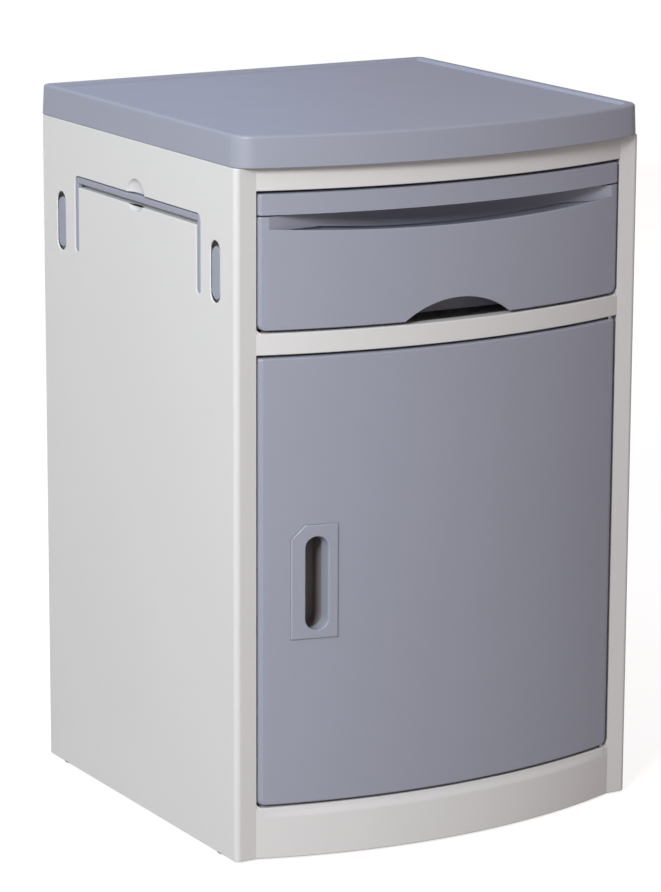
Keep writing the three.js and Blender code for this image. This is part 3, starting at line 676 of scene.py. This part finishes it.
def bowed_rail(name, bows, z, edge, sink=0.0):
    """A rail between two bows, for its lower and its upper edge; its ends meet the stiles.

    Its top edge is sunk by sink behind the upper bow, and comes out to the bow a little lower down
    and towards its ends.
    """
    count = 56
    steps = 5
    lower, upper = bows
    low = [(d, z[0] + edge + h, 0) for d, h in reversed(arc((edge, 0), edge, 180, 270, steps))]
    high = [(d, z[1] - edge + h, 1) for d, h in reversed(arc((edge, 0), edge, 90, 180, steps))]
    slope = []
    if sink:
        for i in range(SINK_STEPS, 0, -1):
            share = 0.5 + 0.5 * math.cos(math.pi * i / SINK_STEPS)
            slope.append((0, z[1] - edge - SINK_STEP * i, share))
    profile = [(RAIL_DEPTH, z[0], 0), *low, *slope, *high, (RAIL_DEPTH, z[1], 0)]
    rings = []
    for i in range(count + 1):
        x = -OPENING + 2 * OPENING * i / count
        start, end = bow_y(lower, x), bow_y(upper, x)
        sunk = sink * (1 - (x / OPENING) ** SINK_FADE)
        ring = []
        for d, h, share in profile:
            face = start + (end - start) * (h - z[0]) / (z[1] - z[0])
            ring.append((x, face + d + sunk * share, h))
        rings.append(ring)
    return loft(name, rings)


HINGE_X = sum(BUSH_X) / 2
HINGE_Y = sum(BUSH_Y) / 2


def hinge_hole(z):
    radius = (BUSH_X[1] - BUSH_X[0]) / 2 + GAP
    return cylinder("hole", "z", radius, z[0], z[1], (HINGE_X, HINGE_Y))


def corner_gusset(name, sign, z):
    """Fills a lower corner of an opening, between a stile and the rail whose top edge is at z."""
    r = GUSSET["fillet"]
    root = z - GUSSET["root"]
    outline = [*arc((OPENING - r, z + r), r, 0, -90, 8), (OPENING - r, root), (OPENING, root)]
    rings = []
    for depth in (GUSSET["front"], GUSSET["rear"]):
        rings.append([(sign * x, bow_y(FRONT_BOW, x) + depth, h) for x, h in outline])
    return loft(name, rings)


def rails():
    """The kick plate, the mid rail, the top rail, and the rounded corners of the openings."""
    upper = span("hinge_bush_upper")[2]
    middle_z = grown(MID_RAIL_Z, -MID_RAIL_TRIM)
    straight = (FRONT_BOW, FRONT_BOW)
    kick = bowed_rail("kick_plate_moulding", (KICK_BOW, FRONT_BOW), KICK_Z, KICK_EDGE, KICK_SINK)
    middle = bowed_rail("mid_rail_moulding", straight, middle_z, RAIL_EDGE)
    top = bowed_rail("top_rail_moulding", straight, TOP_RAIL_Z, RAIL_EDGE)
    for side, sign in SIDES:
        for level, z in (("lower", KICK_Z[1]), ("upper", middle_z[1])):
            gusset = corner_gusset(f"opening_corner_{level}_{side}", sign, z)
            finish_piece(gusset, "carcass", "carcass_grey")
    cut(kick, hinge_hole((BUSH_Z[0] - GAP, HINGE_HOLE_TOP)))
    cut(middle, hinge_hole((MID_RAIL_Z[0] - PAST, upper[1] + GAP)))
    finish_piece(kick, "carcass", "carcass_grey", "kick_plate")
    finish_piece(middle, "carcass", "carcass_grey", "mid_rail")
    finish_piece(top, "carcass", "carcass_grey", "top_rail")


# ---------------------------------------------------------------- bowed fronts


REAR_CHAMFER = 0.6
CORNER_TAPER = 0.35  # how much a corner's radius shrinks for each millimetre of inset
CORNER_LEAST = 1.2


def rolled_slab(name, x, z, front, back, corners, roll, shares):
    """A slab with elliptical rolled edges towards the front, drawn with its front flat.

    corners are the radii of the lower and of the upper corners, roll is the edge's (width, depth),
    and shares scales that width at the sides, bottom and top.
    """
    width, depth = roll
    sides, bottom, top = shares

    def ring(inset, y):
        a = (x[0] + inset * sides, x[1] - inset * sides)
        b = (z[0] + inset * bottom, z[1] - inset * top)
        lower, upper = (max(corner - CORNER_TAPER * inset, CORNER_LEAST) for corner in corners)
        return [(p, y, q) for p, q in rounded_rectangle(a, b, lower, 7, upper)]

    rings = [ring(REAR_CHAMFER, back), ring(0, back - REAR_CHAMFER)]
    steps = 9
    for i in range(steps + 1):
        angle = math.radians(90 * i / steps)
        rings.append(ring(width * (1 - math.cos(angle)), front + depth * (1 - math.sin(angle))))
    return loft(name, rings)


DOOR_EDGES = {"corners": (7.0, 3.0), "roll": (6.0, 4.5), "shares": (1, 0.4, 0.4)}
DOOR_EXTRA = 0.6  # how much further the moulding reaches than the CAD node, up and down
PIN_HOLE_RADIUS = 2.8
PIN_HOLE_EXTRA = 2.0  # past either end of the pin
HANDLE_CHAMFER = 14.0
HANDLE_PROUD = 1.6
HANDLE_EDGE = 1.3
SEAT_DEPTH = 1.0  # how deep the handle plate is let into the door
COLLAR = 2.0  # the wall round the finger slot, from the handle plate back to the cup
CUP_GROW = 5.0  # how much larger than the slot the cup is all round
CUP_WALL = 2.0
CUP_FORWARD = 5.0  # how much further forward the cup starts than the CAD node
CUP_Y = (POCKET_Y[0] - CUP_FORWARD, POCKET_Y[1])
SLOT_X = grown(POCKET_X, -CUP_GROW)
SLOT_Z = grown(POCKET_Z, -CUP_GROW)


def handle_outline(grow):
    """The handle plate from the front, with its upper left corner cut off."""
    left, right = grown(HANDLE_X, grow)
    low, high = grown(HANDLE_Z, grow)
    slope = HANDLE_CHAMFER - grow / 2
    return [(left, low), (right, low), (right, high), (left + slope, high), (left, high - slope)]


def slot_prism(name, grow, low, high):
    return prism(name, pill(grown(SLOT_X, grow), grown(SLOT_Z, grow)), "y", low, high)


def door():
    """The bowed door skin, the handle plate let into it with its collar, and the cup behind."""
    front, back = FRONT, DOOR_Y[1]
    door_z = grown(DOOR_Z, DOOR_EXTRA)
    slab = rolled_slab("door_moulding", LEAF_X, door_z, front, back, **DOOR_EDGES)
    cup_front = unbent_y(FRONT_BOW, front, back, sum(SLOT_X) / 2, CUP_Y[0] - GAP)
    seat = prism("seat", handle_outline(GAP), "y", front - PAST, front + SEAT_DEPTH)
    slot = slot_prism("slot", COLLAR + GAP, front - PAST, cup_front + OVERLAP)
    cup = slot_prism("cup", CUP_GROW + GAP, cup_front, back + PAST)
    pins = []
    for end in ("lower", "upper"):
        hole_z = grown(span(f"hinge_pin_{end}")[2], PIN_HOLE_EXTRA)
        pins.append(cylinder("pin", "z", PIN_HOLE_RADIUS, *hole_z, (HINGE_X, HINGE_Y), 20))
    cut(slab, seat, slot, cup)
    bend(slab, FRONT_BOW, front, back)
    cut(slab, *pins)
    finish_piece(slab, "door", "blue_grey", "door_skin")

    plate_y = (front - HANDLE_PROUD, front + SEAT_DEPTH - GAP)
    plate = prism("handle_plate_moulding", handle_outline(0), "y", *plate_y)
    collar = slot_prism("collar", COLLAR, front, cup_front)
    join(plate, collar)
    cut(plate, slot_prism("opening", 0, front - PAST, cup_front + PAST))
    round_edges(plate, HANDLE_EDGE, segments=4, keep=lambda p: p.y > front)
    bend(plate, FRONT_BOW, front, back)
    finish_piece(plate, "door", "blue_grey", "handle_plate")

    # The cup's dark plastic is painted shade in the finger slot.
    pocket = slot_prism("handle_pocket_cup", CUP_GROW, *CUP_Y)
    cut(pocket, slot_prism("hollow", CUP_GROW - CUP_WALL, CUP_Y[0] - PAST, CUP_Y[1] - CUP_WALL))
    round_edges(pocket, 0.5, segments=2)
    finish_piece(pocket, "door", "black_plastic", "handle_pocket")


RECESS = {
    "half": 204.0,
    "low": 648.6,  # the front wall's top edge, in the middle of the drawer
    "rise": 6.2,  # how much higher that edge is at the recess's ends
    "nose": 1.6,  # the radius of that edge
    "wall": 2.2,  # the front wall's thickness behind the nose
    "wall_top": 0.6,  # how far below the edge the wall's rear face starts
    "draft": 2.0,  # how much thicker the wall is at the floor
    "drop": 14.0,  # from the edge down to the floor
    "hollow": 11.0,  # how much deeper the rear wall is in the middle than at the ends
    "full": 14.0,  # where the room is this deep, the profile has its full size
    "least": 0.08,  # the room's depth at the very ends
    "before": 8.0,  # how far the cut starts before the front
}
UNDERCUT = {
    "depth": 5.0,  # how far the room reaches back under the rear wall
    "slope": 0.27,  # the rear wall's foot is lower than the edge by this share of the room
    "mouth": 7.0,  # how much higher than that the foot is where the undercut is whole
    "start": 6.0,  # the room's depth where the undercut starts
    "length": 16.0,  # and how much deeper the room is where it is whole
    "least": 0.04,  # its share at the ends
}
WALL_LIMIT = 0.9  # of the room's depth, which the front wall's draft keeps within
PROFILE_LIMIT = 0.95  # of the room's depth, which the whole front wall keeps within
DRAWER_EDGES = {"corners": (8.0, 2.0), "roll": (4.5, 3.0), "shares": (1, 0.35, 0.15)}
DRAWER_EXTRA = 1.0  # how much lower the moulding reaches than the CAD node
ARCH = {"half": 63.0, "height": 21.0, "depth": 8.0, "wall": 4.0}
FINGER_CELL = {"half": 84.0, "top": 628.0, "depth": 40.0}


def finger_recess(top):
    """The room between a front wall with a round top edge and a hollow rear wall.

    The rear wall stops short of the floor, and the room reaches back under it.
    """
    half = RECESS["half"]
    rings = []
    count = 60
    for i in range(count + 1):
        x = -half + 2 * half * i / count
        face = bow_y(FRONT_BOW, x)
        rear = bow_y(FRONT_BOW, half) + RECESS["hollow"] * (1 - (x / half) ** 2)
        room = max(rear - face, RECESS["least"])
        share = min(1.0, room / RECESS["full"])
        low = RECESS["low"] + RECESS["rise"] * (x / half) ** 2
        floor = low - RECESS["drop"] * share
        nose = RECESS["nose"] * share
        wall = nose + RECESS["wall"] * share
        profile = [(-RECESS["before"], low - nose)]
        profile += [(nose - p, low - nose + q) for p, q in arc((0, 0), nose, 0, 90, 5)]
        profile.append((wall, low - RECESS["wall_top"] * share))
        profile.append((min(wall + RECESS["draft"], WALL_LIMIT * room), floor))
        ring = [(x, face + min(d, PROFILE_LIMIT * room), z) for d, z in profile]
        fade = min(1.0, max(UNDERCUT["least"], (room - UNDERCUT["start"]) / UNDERCUT["length"]))
        foot = low - UNDERCUT["slope"] * room + UNDERCUT["mouth"] * fade
        under = face + room + UNDERCUT["depth"] * fade
        ring += [(x, under, floor), (x, under, foot), (x, face + room, foot)]
        ring += [(x, face + room, top), (x, face - RECESS["before"], top)]
        rings.append(ring)
    return loft("recess", rings)


def drawer_front():
    """The bowed drawer front, with its finger recess above and its finger arch below."""
    front, back = FRONT, DRAWER_Y[1]
    z = (DRAWER_Z[0] - DRAWER_EXTRA, DRAWER_Z[1])
    slab = rolled_slab("drawer_front_moulding", LEAF_X, z, front, back, **DRAWER_EDGES)
    half, height = ARCH["half"], ARCH["height"]
    radius = (half**2 + height**2) / (2 * height)
    centre = (0, z[0] + height - radius)
    arch = cylinder("arch", "y", radius, front - PAST, front + ARCH["depth"], centre, 256)
    cell_x = (-FINGER_CELL["half"], FINGER_CELL["half"])
    cell_y = (front + ARCH["wall"], front + FINGER_CELL["depth"])
    cell = block("cell", cell_x, cell_y, (z[0] - PAST, FINGER_CELL["top"]))
    cut(slab, arch, cell)
    round_edges(slab, 0.8, segments=2)
    bend(slab, FRONT_BOW, front, back)
    cut(slab, finger_recess(z[1] + PAST))
    finish_piece(slab, "drawer", "blue_grey", "drawer_front")


LIP_EDGES = {"corners": (2.0, 2.5), "roll": (4.5, 3.0), "shares": (1, 0.15, 0.35)}
LIP = {
    "low": 668.5,
    "high": 690.2,
    "back": -182.0,
    "skin": 4.0,
    "room": 16.0,  # the depth of the hollow behind the skin, open below
    "half": 190.0,  # half the hollow's width
    "ceiling": 6.0,  # over the hollow
}
PLATE_Z = (671.0, 687.5)


def dining_board():
    """The pull-out board: a plate behind a bowed, hollow front lip."""
    front, back = FRONT, LIP["back"]
    z = (LIP["low"], LIP["high"])
    lip = rolled_slab("dining_board_moulding", LEAF_X, z, front, back, **LIP_EDGES)
    room_x = (-LIP["half"], LIP["half"])
    room_y = (front + LIP["skin"], front + LIP["skin"] + LIP["room"])
    cut(lip, block("room", room_x, room_y, (z[0] - PAST, z[1] - LIP["ceiling"])))
    plate_y = (back - OVERLAP, BOARD_Y[1])
    join(lip, block("plate", grown(BOARD_X, -GAP), plate_y, PLATE_Z))
    round_edges(lip, 0.6, segments=2)
    bend(lip, FRONT_BOW, front, back, LIP["skin"])
    finish_piece(lip, "board", "blue_grey", "dining_board")


# ---------------------------------------------------------------- drawer tray

TRAY = {"wall": 2.5, "rim": 4.0, "rim_edge": 0.4, "corner": 14.0, "fillet": 8.0}
TRAY_CORNER_TAPER = 0.6  # how much a corner's radius shrinks for each millimetre of inset
TRAY_CORNER_LEAST = 3.0


def drawer_tray():
    """A vacuum-formed tray with round corners, a filleted floor and a flat rim round its mouth."""
    wall, rim, corner, fillet = TRAY["wall"], TRAY["rim"], TRAY["corner"], TRAY["fillet"]
    x = grown(TRAY_X, -rim)
    y = (TRAY_Y[0], TRAY_Y[1] - rim)
    low, high = TRAY_Z

    def ring(inset, z, outward=0.0):
        a = grown(x, outward - inset)
        b = (y[0] + inset, y[1] + outward - inset)
        radius = max(corner - TRAY_CORNER_TAPER * inset, TRAY_CORNER_LEAST)
        return [(p, q, z) for p, q in rounded_rectangle(a, b, radius, 8)]

    steps = 6
    angles = [math.radians(90 * i / steps) for i in range(steps + 1)]
    rings = []
    for angle in angles:
        rings.append(ring(fillet * (1 - math.sin(angle)), low + fillet * (1 - math.cos(angle))))
    rings += [ring(0, high - wall), ring(0, high - wall, rim)]
    rings += [ring(TRAY["rim_edge"], high, rim), ring(wall, high)]
    for angle in angles:
        inner = wall + fillet * (1 - math.cos(angle))
        rings.append(ring(inner, low + wall + fillet * (1 - math.sin(angle))))
    finish_piece(loft("drawer_tray_moulding", rings), "drawer", "carcass_grey", "drawer_tray")


# ---------------------------------------------------------------- towel rails and hooks

BAIL_FACE = RAIL_X[0]
BAIL_ARM_BACK = 2 * PIN_X - BAIL_FACE
BAR_BACK = RAIL_X[1]
BAR_TRIM = 0.6  # the bar's rear part is this much shorter than its front at each end
BAR_EDGE = 0.3  # the radius of that part's lower corners
BAR_CORNER = BAIL_CORNER - 1  # and of its upper ones
HOOK_FACE = HOOK_X[0]
HOOK_BACK = 2 * PIN_X - HOOK_FACE
HOOK_LIP_LOW = 624.0
HOOK_LIP_TRIM = 0.4  # the lip is this much narrower than the tongue on each side
HOOK_LIP_ROOT = 1.5  # how far it reaches into the tongue
HOOK_HEAD = 3.0  # the tongue's head stands this much higher than the CAD node's


def towel_rails():
    """A bar on two arms, thin where it shows and deeper behind."""
    rail = prism("towel_rail_left_moulding", bail_outline(0), "x", BAIL_FACE, BAIL_ARM_BACK)
    bar_z = (RAIL_Z[1] - BAR_HEIGHT, RAIL_Z[1])
    bar_y = grown(RAIL_Y, -BAR_TRIM)
    section = rounded_rectangle(bar_y, bar_z, BAR_EDGE, 6, BAR_CORNER)
    join(rail, prism("bar", section, "x", BAIL_ARM_BACK - OVERLAP, BAR_BACK))
    round_edges(rail, 1.1, segments=4)
    both_sides(rail, "towel_rail_{}_moulding", "towel_rail_{}", "rail_{}", "blue_grey")


def hooks():
    """Pill-shaped tongues, each with a lip behind its head that holds what hangs on it."""
    half = (HOOK_Y[1] - HOOK_Y[0]) / 2
    tongue_z = (HOOK_Z[0], HOOK_Z[1] + HOOK_HEAD)
    for end, middle in zip(("front", "rear"), HOOK_MIDDLES):
        y = (middle - half, middle + half)
        tongue = prism(f"hook_{end}_left_moulding", pill(y, tongue_z), "x", HOOK_FACE, HOOK_BACK)
        lip_outline = pill(grown(y, -HOOK_LIP_TRIM), grown(tongue_z, -HOOK_LIP_TRIM))
        lip = prism("lip", lip_outline, "x", HOOK_BACK - HOOK_LIP_ROOT, HOOK_X[1])
        below_z = (HOOK_Z[0] - PAST, HOOK_LIP_LOW)
        cut(lip, block("below", (-HALF_W - PAST, 0), grown(y, PAST), below_z))
        round_edges(tongue, 1.2, segments=4)
        round_edges(lip, 0.6, segments=3)
        join(tongue, lip)
        name = f"hook_{end}_{{}}"
        both_sides(tongue, name + "_moulding", name, f"{end}_hook_{{}}", "blue_grey")


# ---------------------------------------------------------------- back panel and screws


BACK_FIELD = {"inset": 34.0, "depth": 1.2, "corner": 18}
SCREW = {
    "head": 4.2,  # radii of the head, the shank, its core and its tip
    "shank": 1.8,
    "core": 1.3,
    "tip": 0.2,
    "height": 2.2,  # of the head, and of the rim below its crown
    "rim": 0.55,
    "rim_edge": 0.2,
    "crown_angle": 84,  # in degrees; the crown ends in a small flat
    "sides": 24,
    "length": 14.0,
    "tip_length": 2.0,
    "plain": 1.0,  # the shank's length under the head that has no thread
    "threads": 9,
    "cross": 2.4,  # half the recess's length, then its width and its depth
    "slot": 0.9,
    "depth": 1.5,
    "hole": 2.1,  # the radius of the hole in the sheet
}
SCREW_NODES = [f"back_screw_{level}_{side}" for level in ("lower", "upper") for side, _ in SIDES]


def back_panel():
    """The plain rear sheet, with a shallow rectangular field pressed into it."""
    plate = block("back_panel_sheet", BACK_X, BACK_Y, BACK_Z)
    inset = BACK_FIELD["inset"]
    field_x, field_z = grown(BACK_X, -inset), grown(BACK_Z, -inset)
    field = rounded_rectangle(field_x, field_z, BACK_FIELD["corner"], 10)
    press = prism("press", field, "y", BACK_Y[1] - BACK_FIELD["depth"], BACK_Y[1] + PAST)
    holes = []
    for node in SCREW_NODES:
        x, _, z = span(node)
        centre = (sum(x) / 2, sum(z) / 2)
        holes.append(cylinder("hole", "y", SCREW["hole"], *grown(BACK_Y, PAST), centre, 20))
    cut(plate, press, *holes)
    round_edges(plate, 0.5, segments=2)
    finish_piece(plate, "carcass", "carcass_grey", "back_panel")


def screw_profile(face):
    """A screw's (radius, y) from its tip to its head, which stands on face."""
    head, shank, core = SCREW["head"], SCREW["shank"], SCREW["core"]
    tip = face - SCREW["length"]
    start = tip + SCREW["tip_length"]
    pitch = (SCREW["length"] - SCREW["tip_length"] - SCREW["plain"]) / SCREW["threads"]
    profile = [(SCREW["tip"], tip), (core, start)]
    for i in range(SCREW["threads"]):
        profile += [(core, start + (i + 0.1) * pitch), (shank, start + (i + 0.5) * pitch)]
    rim = face + SCREW["rim"]
    profile += [(shank, face + GAP), (head - SCREW["rim_edge"], face + GAP), (head, rim)]
    steps = 6
    for i in range(1, steps + 1):
        angle = math.radians(SCREW["crown_angle"] * i / steps)
        rise = (SCREW["height"] - SCREW["rim"]) * math.sin(angle)
        profile.append((head * math.cos(angle), rim + rise))
    return profile


def back_screws():
    """Round-headed screws with a cross recess and a threaded shank."""
    for node in SCREW_NODES:
        x, y, z = span(node)
        centre = (sum(x) / 2, sum(z) / 2)
        rings = []
        for radius, at in screw_profile(y[1] - SCREW["height"]):
            rings.append([(p, at, q) for p, q in circle(centre, radius, SCREW["sides"])])
        screw = loft(f"{node}_turned", rings)
        depth = (y[1] - SCREW["depth"], y[1] + OVERLAP)
        long_x, long_z = (grown((middle, middle), SCREW["cross"]) for middle in centre)
        slot_x, slot_z = (grown((middle, middle), SCREW["slot"] / 2) for middle in centre)
        cut(screw, block("across", long_x, depth, slot_z), block("down", slot_x, depth, long_z))
        finish_piece(screw, "carcass", "zinc_steel", node)


# ---------------------------------------------------------------- nodes that keep their CAD shape


def kept_nodes():
    """Finishes the other CAD nodes; each number is the width of that node's softened edges."""
    kept = {
        "carcass_grey": {
            "side_liner_left": 0.6,
            "side_liner_right": 0.6,
            "base_panel": 0.8,
            "drawer_deck": 0.6,
            "cupboard_shelf": 1.2,
            "board_track_left": 0.4,
            "board_track_right": 0.4,
            "door_inner_panel": 1.0,
        },
        "zinc_steel": {
            "drawer_track_left": 0.3,
            "drawer_track_right": 0.3,
            "hinge_pin_lower": 0.4,
            "hinge_pin_upper": 0.4,
            "strike_plate": 0.3,
        },
        "nylon": {
            "hinge_bush_lower": 0.3,
            "hinge_bush_upper": 0.3,
            "drawer_glide_left": 0.5,
            "drawer_glide_right": 0.5,
        },
        "black_plastic": {"magnetic_catch": 0.8},
    }
    for side, _ in SIDES:
        for end in ("front", "rear"):
            kept["black_plastic"][f"glide_{end}_{side}"] = 0.3
            kept["zinc_steel"][f"towel_rail_pin_{end}_{side}"] = 0.2
            kept["zinc_steel"][f"hook_pin_{end}_{side}"] = 0.2
    for slot, nodes in kept.items():
        for name, width in nodes.items():
            finish_node(name, slot, width)


# ---------------------------------------------------------------- studio

CAMERA = {
    "place": (-2.0437, -3.4567, 1.3093),
    "yaw": -30.37,
    "pitch": -13.13,
    "roll": 0.246,
    "lens": 155.35,
    "sensor": 36,
}


def camera():
    """The camera that a fit to the photo's outline gave, in metres and degrees."""
    data = bpy.data.cameras.new("camera")
    data.sensor_width = CAMERA["sensor"]
    data.lens = CAMERA["lens"]
    obj = bpy.data.objects.new("camera", data)
    yaw, pitch, roll = (math.radians(CAMERA[key]) for key in ("yaw", "pitch", "roll"))
    level = math.cos(pitch)
    ahead = Vector((-math.sin(yaw) * level, math.cos(yaw) * level, math.sin(pitch)))
    right = Vector((math.cos(yaw), math.sin(yaw), 0))
    up = right.cross(ahead)
    across = right * math.cos(roll) + up * math.sin(roll)
    upward = up * math.cos(roll) - right * math.sin(roll)
    rotation = Matrix((across, upward, -ahead)).transposed()
    obj.matrix_world = Matrix.Translation(CAMERA["place"]) @ rotation.to_4x4()
    bpy.context.scene.collection.objects.link(obj)
    bpy.context.scene.camera = obj


LIGHT_TARGET = (0, 0, 0.4)


def area_light(name, place, size, power, colour):
    """A square soft light that looks at the cabinet."""
    data = bpy.data.lights.new(name, "AREA")
    data.shape = "SQUARE"
    data.size = size
    data.energy = power
    data.color = colour
    obj = bpy.data.objects.new(name, data)
    obj.location = place
    obj.rotation_mode = "QUATERNION"
    obj.rotation_quaternion = (Vector(LIGHT_TARGET) - Vector(place)).to_track_quat("-Z", "Y")
    bpy.context.scene.collection.objects.link(obj)


FLOOR_HALF = 3.4
FLOOR_Z = (-0.02, -0.0005)
FLOOR_GLOW = 0.8
WORLD_COLOUR = (1.0, 0.85, 0.85, 1)
WORLD_STRENGTH = 0.39


def floor_paper():
    """White backdrop paper, which glows for the eye only and so throws little light back up."""
    paper, shader, links, node, noise = node_kit("floor_paper")
    fibre = noise(node("TexCoord").outputs["Object"], Scale=220.0, Detail=4.0)
    tone = node("Mix", data_type="RGBA")
    tone.inputs["A"].default_value = (0.4, 0.375, 0.34, 1)
    tone.inputs["B"].default_value = (0.43, 0.4, 0.365, 1)
    links.new(fibre.outputs["Fac"], tone.inputs["Factor"])
    links.new(tone.outputs["Result"], shader.inputs["Base Color"])
    shader.inputs["Roughness"].default_value = 0.9
    shader.inputs["Emission Color"].default_value = (1, 1, 1, 1)
    glow = node("Math", operation="MULTIPLY")
    glow.inputs[1].default_value = FLOOR_GLOW
    links.new(node("LightPath").outputs["Is Camera Ray"], glow.inputs[0])
    links.new(glow.outputs[0], shader.inputs["Emission Strength"])
    return paper


def studio():
    """A white floor, a world that lights in one tone and looks white, and three soft lights."""
    half = FLOOR_HALF
    corners = [(-half, -half), (half, -half), (half, half), (-half, half)]
    floor = loft("floor", [[(x, y, z) for x, y in corners] for z in FLOOR_Z])
    floor.data.materials.append(floor_paper())

    world = bpy.data.worlds.new("studio")
    world.use_nodes = True
    tree = world.node_tree
    lit = tree.nodes["Background"]
    lit.inputs["Color"].default_value = WORLD_COLOUR
    lit.inputs["Strength"].default_value = WORLD_STRENGTH
    seen = tree.nodes.new("ShaderNodeBackground")
    seen.inputs["Color"].default_value = (1, 1, 1, 1)
    path = tree.nodes.new("ShaderNodeLightPath")
    choose = tree.nodes.new("ShaderNodeMixShader")
    tree.links.new(path.outputs["Is Camera Ray"], choose.inputs[0])
    tree.links.new(lit.outputs[0], choose.inputs[1])
    tree.links.new(seen.outputs[0], choose.inputs[2])
    tree.links.new(choose.outputs[0], tree.nodes["World Output"].inputs["Surface"])
    bpy.context.scene.world = world

    area_light("key", (-3.2, -2.6, 2.4), 1.1, 150, (1.0, 0.99, 0.985))
    area_light("overhead", (-2.4, -0.6, 3.0), 2.4, 30, (0.65, 0.95, 1.0))
    area_light("rear", (0.4, 2.6, 2.4), 2.4, 17, (0.4, 0.58, 1.0))
    bpy.context.scene.view_settings.view_transform = "Standard"


# ---------------------------------------------------------------- assembly

top_panel()
side_panels()
rails()
door()
drawer_front()
dining_board()
drawer_tray()
towel_rails()
hooks()
back_panel()
back_screws()
kept_nodes()
camera()
studio()
